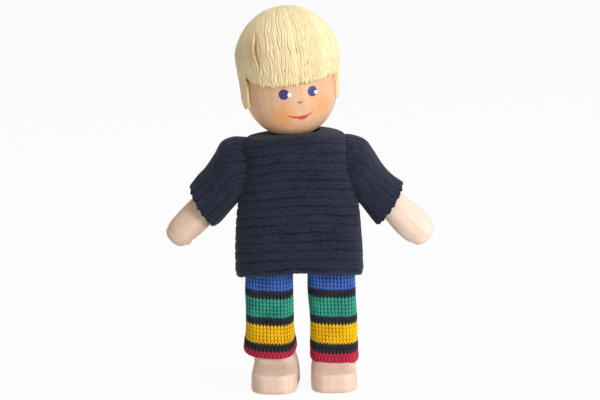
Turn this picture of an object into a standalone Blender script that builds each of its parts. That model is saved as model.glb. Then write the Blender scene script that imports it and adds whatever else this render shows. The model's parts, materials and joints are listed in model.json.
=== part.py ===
"""Miniature jointed doll: wooden limbs on pins, a wool wig, a knitted sweater and striped trousers.

The doll stands on the floor at z = 0 and looks along -Y. Its own left is at +X.
"""

import math

import bmesh
import bpy
from mathutils import Matrix, Vector

MM = 0.001

# Joints: one clearance between every two pieces, one pin and one tongue for the legs, one for the arms
CLEARANCE = 0.3 * MM
LEG_PIN_RADIUS = 0.9 * MM
LEG_TONGUE_WIDTH = 3.4 * MM
LEG_TONGUE_RADIUS = 3.2 * MM
ARM_PIN_RADIUS = 0.7 * MM
ARM_TONGUE_WIDTH = 2.2 * MM
ARM_TONGUE_RADIUS = 2.4 * MM

# Legs
LEG_SPACING = 15.7 * MM
LEG_WIDTH = 10.1 * MM
LEG_DEPTH = 9.0 * MM
LEG_EDGE = 2.2 * MM
THIGH_LENGTH = 15.0 * MM
SHIN_LENGTH = 17.5 * MM
FOOT_WIDTH = 11.2 * MM
FOOT_LENGTH = 15.8 * MM
FOOT_INSET = {"left": 0.0 * MM, "right": 1.2 * MM}
TOE_HEIGHT = 5.0 * MM
TOE_ROUND = 1.2 * MM
TOE_CORNER = 4.0 * MM
HEEL_OVERHANG = 0.6 * MM
FOOT_EDGE = 0.8 * MM
TOE_OUT = {"left": math.radians(0.0), "right": math.radians(-4.0)}

# Torso
TORSO_LENGTH = 28.0 * MM
TORSO_DEPTH = 12.6 * MM
TORSO_SHOULDER_WIDTH = 16.4 * MM
TORSO_EDGE = 3.0 * MM
HIP_CHEEK = 2.05 * MM
WAIST_SLOPE = 3.2 * MM

# Arms
SHOULDER_DROP = 5.8 * MM
ARM_SPLAY = {"left": math.radians(45.0), "right": math.radians(46.5)}
ARM_RADIUS = 3.1 * MM
UPPER_ARM_LENGTH = 10.0 * MM
FOREARM_LENGTH = 16.2 * MM
HAND_WIDTH = 8.3 * MM
HAND_THICKNESS = 6.4 * MM
SPIGOT_RADIUS = 1.6 * MM
SPIGOT_DEPTH = 5.4 * MM

# Head and neck
HEAD_RADIUS = 11.2 * MM
HEAD_RISE = 8.0 * MM
HEAD_FLAT_RADIUS = 3.6 * MM
HEAD_LIFT = 2.3 * MM
HEAD_TILT = math.radians(-4.5)
HEAD_TURN = math.radians(10.0)
NECK_PIVOT_DEPTH = 3.5 * MM
NECK_POST_RADIUS = 2.1 * MM
NECK_POST_LENGTH = 8.0 * MM
NECK_FLANGE_RADIUS = 3.2 * MM
NECK_FLANGE_HEIGHT = 0.8 * MM
NECK_SWAY = math.radians(8.5)
WIG_THICKNESS = 1.3 * MM
WIG_EDGE_THICKNESS = 0.9 * MM
WIG_HEM = 6.8 * MM
FRINGE_HEIGHT = 13.4 * MM
FACE_HALF_ANGLE = math.radians(70.0)

# Trousers, one knitted layer over the legs and hips, with an elastic in the waist
TROUSER_KNIT = 0.55 * MM
CUFF_HEIGHT = 7.7 * MM
CUFF_FLARE = 0.4 * MM
TROUSER_LEG_TOP = 2.7 * MM
SEAT_RISE = 11.0 * MM
ELASTIC_THICKNESS = 0.6 * MM
ELASTIC_HEIGHT = 1.8 * MM

# Sweater, in two panels and two sleeves
SWEATER_KNIT = 0.9 * MM
SWEATER_HEM_DROP = 3.0 * MM
SWEATER_SPLIT_RISE = 6.0 * MM
SWEATER_HEM_WIDTH = 31.2 * MM
SWEATER_HEM_DEPTH = 21.4 * MM
SWEATER_ROOF = 2.6 * MM
SWEATER_SQUARENESS = 3.4
SWEATER_FOLD = 0.25 * MM
NECK_HOLE_WIDTH = 15.6 * MM
NECK_HOLE_DEPTH = 13.8 * MM
ARMHOLE_RADIUS = 8.3 * MM
ARMHOLE_DROP = 0.5 * MM
ARMPIT_FLARE = 0.65
SLEEVE_LENGTH = 14.6 * MM
SLEEVE_MOUTH_WIDTH = 11.8 * MM
SLEEVE_MOUTH_DEPTH = 10.4 * MM

# Facets
ROUND_STEPS = 24
PIN_STEPS = 12
RING_STEPS = 28
ARC_STEPS = 6

# Heights and places that follow from the sizes above
KNEE_Z = SHIN_LENGTH
HIP_Z = KNEE_Z + THIGH_LENGTH
HIP_X = LEG_SPACING / 2
TORSO_TOP_Z = HIP_Z + TORSO_LENGTH
SHOULDER_Z = TORSO_TOP_Z - SHOULDER_DROP
NECK_Z = TORSO_TOP_Z - NECK_PIVOT_DEPTH
TORSO_HIP_WIDTH = LEG_SPACING + LEG_TONGUE_WIDTH + 2 * (CLEARANCE + HIP_CHEEK)
SIDES = {"left": 1.0, "right": -1.0}

parts = None
cutters = None


def torso_half_width(height):
    """Half the torso's width: widest at the hips, tapering straight to the shoulders."""
    share = min(1.0, max(0.0, (height - HIP_Z) / TORSO_LENGTH))
    return (TORSO_HIP_WIDTH * (1 - share) + TORSO_SHOULDER_WIDTH * share) / 2


SHOULDER_X = torso_half_width(SHOULDER_Z) + ARM_RADIUS + 2 * CLEARANCE


# Scene, materials and modifiers


def new_collection(name):
    collection = bpy.data.collections.new(name)
    bpy.context.scene.collection.children.link(collection)
    return collection


def clear_scene():
    for obj in list(bpy.data.objects):
        bpy.data.objects.remove(obj)


def new_material(name, colour, roughness, metallic=0.0):
    made = bpy.data.materials.new(name)
    made.use_nodes = True
    shader = made.node_tree.nodes["Principled BSDF"]
    shader.inputs["Base Color"].default_value = (*colour, 1.0)
    shader.inputs["Roughness"].default_value = roughness
    shader.inputs["Metallic"].default_value = metallic
    return made


def joint_empty(name, place, turn=(0.0, 0.0, 0.0), parent=None):
    """An empty on a joint's axis, which carries the pieces that move about it."""
    empty = bpy.data.objects.new(name, None)
    parts.objects.link(empty)
    empty.location = place
    empty.rotation_euler = turn
    empty.parent = parent
    return empty


def add_object(name, mesh, parent, material):
    obj = bpy.data.objects.new(name, mesh)
    parts.objects.link(obj)
    obj.parent = parent
    mesh.materials.append(material)
    mesh.shade_smooth()
    mesh.set_sharp_from_angle(angle=math.radians(35))
    return obj


def add_cutter(mesh, parent):
    obj = bpy.data.objects.new("cutter", mesh)
    cutters.objects.link(obj)
    obj.parent = parent
    obj.hide_render = True
    obj.display_type = "WIRE"
    return obj


def boolean(obj, operation, mesh, parent=None):
    """Cuts, joins or keeps the common part of an object and a mesh given in the parent's frame."""
    modifier = obj.modifiers.new(operation.lower(), "BOOLEAN")
    modifier.operation = operation
    modifier.object = add_cutter(mesh, parent or obj.parent)


def cut(obj, mesh, parent=None):
    boolean(obj, "DIFFERENCE", mesh, parent)


def join(obj, mesh):
    boolean(obj, "UNION", mesh)


def keep_common(obj, mesh):
    boolean(obj, "INTERSECT", mesh)


def bevel(obj, width):
    modifier = obj.modifiers.new("rounded edges", "BEVEL")
    modifier.width = width
    modifier.segments = 2
    modifier.limit_method = "ANGLE"
    modifier.angle_limit = math.radians(40)


def solidify(obj, thickness):
    """Gives an open outer surface its thickness, inwards."""
    modifier = obj.modifiers.new("thickness", "SOLIDIFY")
    modifier.thickness = thickness
    modifier.offset = -1.0
    modifier.use_even_offset = True


# Meshes


def mesh_from(bm):
    bmesh.ops.recalc_face_normals(bm, faces=bm.faces)
    mesh = bpy.data.meshes.new("shape")
    bm.to_mesh(mesh)
    bm.free()
    return mesh


def block(width, depth, low, high, centre_x=0.0, centre_y=0.0):
    """A box between two heights."""
    bm = bmesh.new()
    bmesh.ops.create_cube(bm, size=1.0)
    bmesh.ops.scale(bm, vec=(width, depth, high - low), verts=bm.verts)
    bmesh.ops.translate(bm, vec=(centre_x, centre_y, (low + high) / 2), verts=bm.verts)
    return mesh_from(bm)


ALONG = {"X": Matrix.Rotation(math.pi / 2, 4, "Y"), "Y": Matrix.Rotation(-math.pi / 2, 4, "X"), "Z": Matrix()}


def rod(radius, low, high, along="Z", centre=(0.0, 0.0, 0.0), steps=PIN_STEPS):
    """A cylinder along one axis, from low to high on it, measured from its centre."""
    bm = bmesh.new()
    bmesh.ops.create_cone(
        bm, cap_ends=True, segments=steps, radius1=radius, radius2=radius, depth=high - low
    )
    bmesh.ops.translate(bm, vec=(0, 0, (low + high) / 2), verts=bm.verts)
    half_step = Matrix.Rotation(math.pi / steps, 4, "Z")
    place = Matrix.Translation(centre) @ ALONG[along] @ half_step
    bmesh.ops.transform(bm, matrix=place, verts=bm.verts)
    return mesh_from(bm)


def arc(centre, radius, start, end, steps=ARC_STEPS):
    """Points on an arc in a plane, with its angles in degrees."""
    angles = [math.radians(start + (end - start) * k / steps) for k in range(steps + 1)]
    return [(centre[0] + radius * math.cos(a), centre[1] + radius * math.sin(a)) for a in angles]


# Each plane takes the outline's first and second coordinate, and its thickness, to these axes
PLANES = {
    "XY": Matrix(((1, 0, 0, 0), (0, 1, 0, 0), (0, 0, 1, 0), (0, 0, 0, 1))),
    "YZ": Matrix(((0, 0, 1, 0), (1, 0, 0, 0), (0, 1, 0, 0), (0, 0, 0, 1))),
    "XZ": Matrix(((1, 0, 0, 0), (0, 0, -1, 0), (0, 1, 0, 0), (0, 0, 0, 1))),
}


def plate(outline, low, high, plane):
    """A flat outline with a thickness from low to high, square to its plane."""
    curve = bpy.data.curves.new("outline", "CURVE")
    curve.dimensions = "2D"
    curve.fill_mode = "BOTH"
    curve.extrude = (high - low) / 2
    spline = curve.splines.new("POLY")
    spline.points.add(len(outline) - 1)
    for point, (first, second) in zip(spline.points, outline):
        point.co = (first, second, 0.0, 1.0)
    spline.use_cyclic_u = True
    guide = bpy.data.objects.new("outline", curve)
    cutters.objects.link(guide)
    flat = bpy.data.meshes.new_from_object(guide.evaluated_get(bpy.context.evaluated_depsgraph_get()))
    bpy.data.objects.remove(guide)
    bm = bmesh.new()
    bm.from_mesh(flat)
    bmesh.ops.remove_doubles(bm, verts=bm.verts, dist=1e-6)
    bmesh.ops.dissolve_limit(bm, angle_limit=1e-3, verts=bm.verts, edges=bm.edges)
    bmesh.ops.translate(bm, vec=(0, 0, (low + high) / 2), verts=bm.verts)
    bmesh.ops.transform(bm, matrix=PLANES[plane], verts=bm.verts)
    return mesh_from(bm)


def turned(name, profile, parent, material):
    """A solid of revolution about the parent's Z, from a profile of (radius, height), top to bottom."""
    bm = bmesh.new()
    verts = [bm.verts.new((radius, 0.0, height)) for radius, height in profile]
    for first, second in zip(verts, verts[1:]):
        bm.edges.new((first, second))
    mesh = bpy.data.meshes.new(name)
    bm.to_mesh(mesh)
    bm.free()
    obj = add_object(name, mesh, parent, material)
    screw = obj.modifiers.new("turning", "SCREW")
    screw.steps = ROUND_STEPS
    screw.render_steps = ROUND_STEPS
    screw.use_merge_vertices = True
    screw.merge_threshold = 1e-5
    screw.use_normal_calculate = True
    return obj


def loft(rings, closed=True, capped=False):
    """A skin over rings of points: closed round, or open along one side, with or without end caps."""
    bm = bmesh.new()
    rows = [[bm.verts.new(point) for point in ring] for ring in rings]
    count = len(rows[0])
    for low, high in zip(rows, rows[1:]):
        for k in range(count if closed else count - 1):
            after = (k + 1) % count
            bm.faces.new((low[k], low[after], high[after], high[k]))
    if capped:
        bm.faces.new(rows[0][::-1])
        bm.faces.new(rows[-1])
    mesh = bpy.data.meshes.new("skin")
    bm.to_mesh(mesh)
    bm.free()
    return mesh


def rounded_rectangle(half_width, half_depth, corner, height, centre_y=0.0):
    """A level ring: a rectangle with round corners, counter-clockwise from above."""
    ring = []
    for quarter in range(4):
        across = (1, -1, -1, 1)[quarter]
        along = (1, 1, -1, -1)[quarter]
        centre = (across * (half_width - corner), centre_y + along * (half_depth - corner))
        for x, y in arc(centre, corner, 90 * quarter, 90 * quarter + 90, RING_STEPS // 4 - 1):
            ring.append(Vector((x, y, height)))
    return ring


def oval(half_width, half_depth, squareness, height, start, end, fold=0.0):
    """A level stretch of a squarish oval between two angles in degrees, with soft folds if asked."""
    ring = []
    for k in range(RING_STEPS + 1):
        a = math.radians(start + (end - start) * k / RING_STEPS)
        c, s = math.cos(a), math.sin(a)
        swell = 1.0 + fold / half_width * math.cos(6 * a)
        x = half_width * swell * math.copysign(abs(c) ** (2 / squareness), c)
        y = half_depth * swell * math.copysign(abs(s) ** (2 / squareness), s)
        ring.append(Vector((x, y, height)))
    return ring


# Legs


def make_leg(side, torso, wood, brass, knit):
    hip = joint_empty(f"hip_joint_{side}", (SIDES[side] * HIP_X, 0, HIP_Z), (0, 0, TOE_OUT[side]))
    knee = joint_empty(f"knee_joint_{side}", (0, 0, -THIGH_LENGTH), parent=hip)
    make_hip(side, hip, torso, brass)
    make_thigh(side, hip, wood)
    knee_pin = rod(LEG_PIN_RADIUS, -KNEE_PIN_REACH, KNEE_PIN_REACH, "X", (0, 0, -THIGH_LENGTH))
    add_object(f"knee_pin_{side}", knee_pin, hip, brass)
    make_lower_leg(side, knee, wood)
    make_trouser_leg(side, hip, knit)


KNEE_PIN_REACH = LEG_WIDTH / 2 - CLEARANCE
HIP_PIN_REACH = LEG_TONGUE_WIDTH / 2 + CLEARANCE + HIP_CHEEK - CLEARANCE / 2
HIP_ROUND = LEG_DEPTH / 2
KNEE_ROUND = LEG_DEPTH / 2


def make_hip(side, hip, torso, brass):
    """The slot and pin hole in the torso for one thigh, and the pin."""
    slot_half = LEG_TONGUE_WIDTH / 2 + CLEARANCE
    slot_top = LEG_TONGUE_RADIUS + CLEARANCE
    cut(torso, block(2 * slot_half, 2 * TORSO_DEPTH, -TORSO_DEPTH, slot_top), hip)
    reach = HIP_PIN_REACH + CLEARANCE / 2
    cut(torso, rod(LEG_PIN_RADIUS + CLEARANCE, -reach, 2 * reach, "X"), hip)
    add_object(f"hip_pin_{side}", rod(LEG_PIN_RADIUS, -HIP_PIN_REACH, HIP_PIN_REACH, "X"), hip, brass)


def tongue(bottom):
    """A leg's tongue: round about its pin at the top, down to the given height."""
    r = LEG_TONGUE_RADIUS
    outline = arc((0, 0), r, 0, 180) + [(-r, bottom), (r, bottom)]
    return plate(outline, -LEG_TONGUE_WIDTH / 2, LEG_TONGUE_WIDTH / 2, "YZ")


def make_thigh(side, hip, wood):
    """A block with a tongue for the hip above, and a round forked end for the knee below."""
    top = -(HIP_ROUND + 2 * CLEARANCE)
    outline = arc((0, -THIGH_LENGTH), KNEE_ROUND, 180, 360) + [(KNEE_ROUND, top), (-KNEE_ROUND, top)]
    thigh = add_object(f"thigh_{side}", plate(outline, -LEG_WIDTH / 2, LEG_WIDTH / 2, "YZ"), hip, wood)
    bevel(thigh, LEG_EDGE)
    join(thigh, tongue(top - LEG_TONGUE_RADIUS / 4))
    slot_top = -THIGH_LENGTH + LEG_TONGUE_RADIUS + CLEARANCE
    slot_bottom = -THIGH_LENGTH - LEG_DEPTH
    cut(thigh, block(LEG_TONGUE_WIDTH + 2 * CLEARANCE, 2 * LEG_DEPTH, slot_bottom, slot_top))
    hole = LEG_PIN_RADIUS + CLEARANCE
    cut(thigh, rod(hole, -LEG_WIDTH, LEG_WIDTH, "X"))
    cut(thigh, rod(hole, -LEG_WIDTH, LEG_WIDTH, "X", (0, 0, -THIGH_LENGTH)))


def make_lower_leg(side, knee, wood):
    """Shin and foot in one piece of wood: a foot cut to its plan, and a post that leans over to the instep."""
    sole = -SHIN_LENGTH
    top = -(KNEE_ROUND + CLEARANCE)
    heel = KNEE_ROUND + HEEL_OVERHANG
    toe = heel - FOOT_LENGTH
    toe_top = sole + TOE_HEIGHT
    edge, crown = FOOT_EDGE, TOE_ROUND
    # Heights, and how far the edge is rounded in there
    levels = ((sole, edge), (sole + 0.3 * edge, 0.3 * edge), (sole + edge, 0), (toe_top - crown, 0))
    levels += ((toe_top - 0.45 * crown, 0.15 * crown), (toe_top - 0.12 * crown, 0.5 * crown))
    levels += ((toe_top, crown),)
    aside = -SIDES[side] * FOOT_INSET[side]
    foot = [moved_aside(foot_ring(toe, heel, inset, height), aside) for height, inset in levels]
    leg = add_object(f"lower_leg_{side}", loft(foot, capped=True), knee, wood)
    cuff = sole + CUFF_HEIGHT - CLEARANCE
    spread = (CUFF_HEIGHT - TOE_HEIGHT) / 2
    # Heights, how far the post reaches forward there, and its share of the foot's inset
    stations = ((sole + TOE_HEIGHT / 2, spread, 1.0), (toe_top, spread, 1.0), (toe_top + spread, spread / 4, 0.6))
    stations += ((cuff, 0.0, 0.1), (top, 0.0, 0.0))
    post = []
    for height, forward, share in stations:
        ring = rounded_rectangle(LEG_WIDTH / 2, KNEE_ROUND + forward / 2, LEG_EDGE, height, -forward / 2)
        post.append(moved_aside(ring, share * aside))
    join(leg, loft(post, capped=True))
    join(leg, tongue(top - LEG_TONGUE_RADIUS / 4))
    cut(leg, rod(LEG_PIN_RADIUS + CLEARANCE, -LEG_WIDTH, LEG_WIDTH, "X"))


def moved_aside(ring, aside):
    return [point + Vector((aside, 0, 0)) for point in ring]


def foot_ring(toe, heel, inset, height):
    """The foot's plan at a height, drawn in by an inset: a broad round toe and a tighter heel."""
    half = FOOT_WIDTH / 2 - inset
    front, back = toe + inset, heel - inset
    round_toe, round_heel = TOE_CORNER - inset, LEG_EDGE - inset / 2
    plan = arc((half - round_heel, back - round_heel), round_heel, 0, 90)
    plan += arc((round_heel - half, back - round_heel), round_heel, 90, 180)
    plan += arc((round_toe - half, front + round_toe), round_toe, 180, 270)
    plan += arc((half - round_toe, front + round_toe), round_toe, 270, 360)
    return [Vector((x, y, height)) for x, y in plan]


def make_trouser_leg(side, hip, knit):
    """One knitted tube from under the sweater to the cuff."""
    ease = CLEARANCE + TROUSER_KNIT
    half_width, half_depth = LEG_WIDTH / 2 + ease, LEG_DEPTH / 2 + ease
    top = -TROUSER_LEG_TOP
    cuff = CUFF_HEIGHT - HIP_Z
    flares = ((0.0, 1.0), (0.06, 0.3), (0.16, 0.0), (0.5, 0.12), (0.62, 0.0), (1.0, 0.0))
    rings = []
    for share, flare in flares:
        extra = flare * CUFF_FLARE
        height = cuff + (top - cuff) * share
        rings.append(rounded_rectangle(half_width + extra, half_depth + extra, LEG_EDGE + ease, height))
    leg = add_object(f"trouser_leg_{side}", loft(rings), hip, knit)
    solidify(leg, TROUSER_KNIT)


# Torso and what is fixed to it


def make_torso(root, wood):
    """A tapered block with hips as deep as the legs, round about the hip pins and notched between them."""
    half = TORSO_DEPTH / 2
    hip_top = HIP_Z + HIP_ROUND + 2 * CLEARANCE
    waist = hip_top + WAIST_SLOPE
    outline = arc((0, HIP_Z), HIP_ROUND, 180, 360)
    outline += [(HIP_ROUND, hip_top), (half, waist), (half, TORSO_TOP_Z)]
    outline += [(-half, TORSO_TOP_Z), (-half, waist), (-HIP_ROUND, hip_top)]
    mesh = plate(outline, -1.0, 1.0, "YZ")
    for vertex in mesh.vertices:
        vertex.co.x = math.copysign(torso_half_width(vertex.co.z), vertex.co.x)
    torso = add_object("torso_block", mesh, root, wood)
    bevel(torso, TORSO_EDGE)
    notch = LEG_SPACING - LEG_WIDTH
    cut(torso, block(notch, 2 * TORSO_DEPTH, HIP_Z - TORSO_DEPTH, HIP_Z - TROUSER_LEG_TOP + 2 * CLEARANCE))
    return torso


def make_seat(root, knit, elastic):
    """The trouser seat, open above and below, and the elastic in its waist."""
    waist = HIP_Z + SEAT_RISE
    half_depth = TORSO_DEPTH / 2 + CLEARANCE
    low = waist - ELASTIC_HEIGHT - CLEARANCE
    half_width = torso_half_width(low) + CLEARANCE
    corner = TORSO_EDGE + CLEARANCE
    outward = ELASTIC_THICKNESS
    band = [
        rounded_rectangle(half_width + outward, half_depth + outward, corner + outward, height)
        for height in (low, low + ELASTIC_HEIGHT)
    ]
    ring = add_object("waist_elastic", loft(band), root, elastic)
    solidify(ring, ELASTIC_THICKNESS)
    ease = ELASTIC_THICKNESS + CLEARANCE + TROUSER_KNIT
    seat_half_width = torso_half_width(HIP_Z) + CLEARANCE + TROUSER_KNIT
    rings = [
        rounded_rectangle(seat_half_width, half_depth + TROUSER_KNIT, corner + TROUSER_KNIT, height)
        for height in (HIP_Z - TROUSER_LEG_TOP + CLEARANCE, HIP_Z + SEAT_RISE / 2)
    ]
    rings += [
        rounded_rectangle(half_width + ease, half_depth + ease, corner + ease, height)
        for height in (low - CLEARANCE, waist)
    ]
    seat = add_object("trouser_seat", loft(rings), root, knit)
    solidify(seat, TROUSER_KNIT)


# Sweater

HEM_Z = HIP_Z - SWEATER_HEM_DROP
SPLIT_Z = HIP_Z + SWEATER_SPLIT_RISE
ROOF_Z = TORSO_TOP_Z + SWEATER_ROOF
ARMHOLE_X = SHOULDER_X + CLEARANCE


def sweater_rings(start, end):
    """Rings from the hem to the neck over a stretch of angles, as (height, ring). Folds fade upwards."""
    hem_half, hem_deep = SWEATER_HEM_WIDTH / 2, SWEATER_HEM_DEPTH / 2
    top_half = ARMHOLE_X
    top_deep = ARMHOLE_RADIUS + CLEARANCE + 1.5 * SWEATER_KNIT
    span = ROOF_Z - HEM_Z
    # Shares of the height, and of the way from the top's size to the hem's
    body = ((0.0, 1.0), (0.12, 0.97), (0.27, 0.9), (0.48, ARMPIT_FLARE))
    body += ((0.70, 0.35), (0.86, 0.1), (0.94, -0.25))
    rings = []
    for share, width in body:
        half = top_half + (hem_half - top_half) * width
        deep = top_deep + (hem_deep - top_deep) * width
        fold = SWEATER_FOLD * (1 - share)
        height = HEM_Z + span * share
        rings.append((height, oval(half, deep, SWEATER_SQUARENESS, height, start, end, fold)))
    for share, inward in ((0.98, 0.3), (1.0, 1.0)):
        half = top_half * (1 - inward) + NECK_HOLE_WIDTH / 2 * inward
        deep = top_deep * 0.94 * (1 - inward) + NECK_HOLE_DEPTH / 2 * inward
        squareness = 2.4 - 0.4 * inward
        height = HEM_Z + span * share
        rings.append((height, oval(half, deep, squareness, height, start, end)))
    return rings


def between(rings, height):
    """The ring at a height, straight between the two nearest."""
    for (low_z, low), (high_z, high) in zip(rings, rings[1:]):
        if low_z <= height <= high_z:
            share = (height - low_z) / (high_z - low_z)
            return [a.lerp(b, share) for a, b in zip(low, high)]
    return rings[-1][1]


def stretch(rings, low, high):
    """The rings from one height to another."""
    inside = [ring for height, ring in rings if low < height < high]
    return [between(rings, low)] + inside + [between(rings, high)]


def make_sweater(root, knit):
    """Front and back panels that meet at the side seams. The thighs lift the front's hem, its own piece."""
    seam = math.degrees(math.asin((CLEARANCE / SWEATER_HEM_DEPTH) ** (SWEATER_SQUARENESS / 2)))
    front = sweater_rings(180 + seam, 360 - seam)
    back = sweater_rings(seam, 180 - seam)
    panels = {
        "sweater_front": stretch(front, SPLIT_Z + CLEARANCE / 2, ROOF_Z),
        "sweater_front_hem": stretch(front, HEM_Z, SPLIT_Z - CLEARANCE / 2),
        "sweater_back": stretch(back, HEM_Z, ROOF_Z),
    }
    for name, rings in panels.items():
        panel = add_object(name, loft(rings, closed=False), root, knit)
        solidify(panel, SWEATER_KNIT)
        if name == "sweater_front_hem":
            continue
        for side in SIDES.values():
            cut(panel, armhole(side), root)


def armhole(side):
    """The round hole in the sweater's side for one sleeve."""
    inner, outer = ARMHOLE_X - 1.5 * SWEATER_KNIT - CLEARANCE, ARMHOLE_X + SWEATER_HEM_WIDTH
    low, high = (inner, outer) if side > 0 else (-outer, -inner)
    return rod(ARMHOLE_RADIUS + CLEARANCE, low, high, "X", (0, 0, SHOULDER_Z - ARMHOLE_DROP), RING_STEPS)


def make_sleeve(side, shoulder, knit):
    """A tube that starts round in the armhole, squares its shoulder and opens along the arm."""
    across = SIDES[side]
    r = ARMHOLE_RADIUS
    top, bottom = r - ARMHOLE_DROP, -r - ARMHOLE_DROP
    start = ARMHOLE_X - 1.5 * SWEATER_KNIT - SHOULDER_X
    wall = ARMHOLE_X + (SWEATER_HEM_WIDTH / 2 - ARMHOLE_X) * ARMPIT_FLARE + CLEARANCE - SHOULDER_X
    shoulder_point = Vector((0.66 * r, 0, 0.78 * r))
    armpit = Vector((wall + 0.1 * r, 0, bottom - 0.16 * r))
    lean = math.radians(32)
    mouth = Vector((math.sin(ARM_SPLAY[side]), 0, -math.cos(ARM_SPLAY[side]))) * SLEEVE_LENGTH
    reach = Vector((math.sin(lean), 0, math.cos(lean))) * SLEEVE_MOUTH_WIDTH / 2
    middle = (shoulder_point.lerp(mouth + reach, 0.46), armpit.lerp(mouth - reach, 0.5))
    # Each ring by its upper and its lower point, from the shoulder pin, and half its depth
    edges = [
        (Vector((start, 0, top)), Vector((start, 0, bottom)), r),
        (Vector((wall, 0, top)), Vector((wall, 0, bottom)), r),
        (shoulder_point, armpit, 0.95 * r),
        (*middle, 0.8 * r),
        (mouth + reach, mouth - reach, SLEEVE_MOUTH_DEPTH / 2),
    ]
    rings = []
    for upper, lower, half_depth in edges:
        centre, up = (upper + lower) / 2, (upper - lower) / 2
        ring = []
        for k in range(RING_STEPS):
            a = 2 * math.pi * k / RING_STEPS
            point = centre + up * math.cos(a) + Vector((0, half_depth * math.sin(a), 0))
            point.x *= across
            ring.append(point)
        rings.append(ring if across < 0 else ring[::-1])
    sleeve = add_object(f"sleeve_{side}", loft(rings), shoulder, knit)
    solidify(sleeve, SWEATER_KNIT)


# Arms


def make_arm(side, torso, wood, brass, knit):
    across = SIDES[side]
    shoulder = joint_empty(f"shoulder_joint_{side}", (across * SHOULDER_X, 0, SHOULDER_Z))
    arm = joint_empty(f"arm_joint_{side}", (0, 0, 0), (0, -across * ARM_SPLAY[side], 0), shoulder)
    elbow = joint_empty(f"elbow_joint_{side}", (0, 0, -UPPER_ARM_LENGTH), parent=arm)
    make_shoulder(side, shoulder, torso, wood, brass)
    make_upper_arm(side, arm, wood)
    pin = rod(ARM_PIN_RADIUS, -ELBOW_PIN_REACH, ELBOW_PIN_REACH, "X", (0, 0, -UPPER_ARM_LENGTH))
    add_object(f"elbow_pin_{side}", pin, arm, brass)
    make_forearm(side, elbow, wood)
    make_sleeve(side, shoulder, knit)


ARM_CHEEK = ARM_RADIUS * 0.94
ELBOW_PIN_REACH = ARM_CHEEK - CLEARANCE
SHOULDER_PIN_REACH = ARM_CHEEK - CLEARANCE


def make_shoulder(side, shoulder, torso, wood, brass):
    """A knuckle whose spigot turns in the torso's side, and the pin that holds the arm to its eye."""
    across = SIDES[side]
    torso_side = torso_half_width(SHOULDER_Z) - SHOULDER_X
    inner = torso_side - SPIGOT_DEPTH
    low, high = sorted((across * inner, across * (torso_side + 2 * CLEARANCE)))
    knuckle = add_object(f"shoulder_knuckle_{side}", rod(SPIGOT_RADIUS, low, high, "X"), shoulder, wood)
    stem = across * (torso_side + CLEARANCE)
    half_stem = across * SPIGOT_RADIUS
    arc_start = -90 if across > 0 else 90
    eye = arc((0, 0), ARM_TONGUE_RADIUS, arc_start, arc_start + 180)
    eye += [(0, half_stem), (stem, half_stem), (stem, -half_stem), (0, -half_stem)]
    join(knuckle, plate(eye, -ARM_TONGUE_WIDTH / 2, ARM_TONGUE_WIDTH / 2, "XZ"))
    cut(knuckle, rod(ARM_PIN_RADIUS + CLEARANCE, -ARM_RADIUS, ARM_RADIUS, "Y"))
    low, high = sorted((across * (inner - CLEARANCE), across * (torso_side + ARM_RADIUS)))
    cut(torso, rod(SPIGOT_RADIUS + CLEARANCE, low, high, "X"), shoulder)
    pin = rod(ARM_PIN_RADIUS, -SHOULDER_PIN_REACH, SHOULDER_PIN_REACH, "Y")
    add_object(f"shoulder_pin_{side}", pin, shoulder, brass)


def make_upper_arm(side, arm, wood):
    """A dowel, round-ended and forked about the shoulder pin above and about the elbow pin below."""
    r = ARM_RADIUS
    low, high = -UPPER_ARM_LENGTH - r, r
    upper = add_object(f"upper_arm_{side}", rod(r, low, high, steps=ROUND_STEPS), arm, wood)
    end = ARM_CHEEK
    top = arc((0, 0), end, 0, 180) + [(-end, 2 * low), (end, 2 * low)]
    keep_common(upper, plate(top, -2 * r, 2 * r, "XZ"))
    bottom = arc((0, -UPPER_ARM_LENGTH), end, 180, 360) + [(end, 2 * r), (-end, 2 * r)]
    keep_common(upper, plate(bottom, -2 * r, 2 * r, "YZ"))
    slot = ARM_TONGUE_WIDTH + 2 * CLEARANCE
    deep = ARM_TONGUE_RADIUS + CLEARANCE
    cut(upper, block(4 * r, slot, -deep, 2 * r))
    cut(upper, block(slot, 4 * r, 2 * low, -UPPER_ARM_LENGTH + deep))
    hole = ARM_PIN_RADIUS + CLEARANCE
    cut(upper, rod(hole, -2 * r, 2 * r, "Y"))
    cut(upper, rod(hole, -2 * r, 2 * r, "X", (0, 0, -UPPER_ARM_LENGTH)))


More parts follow.
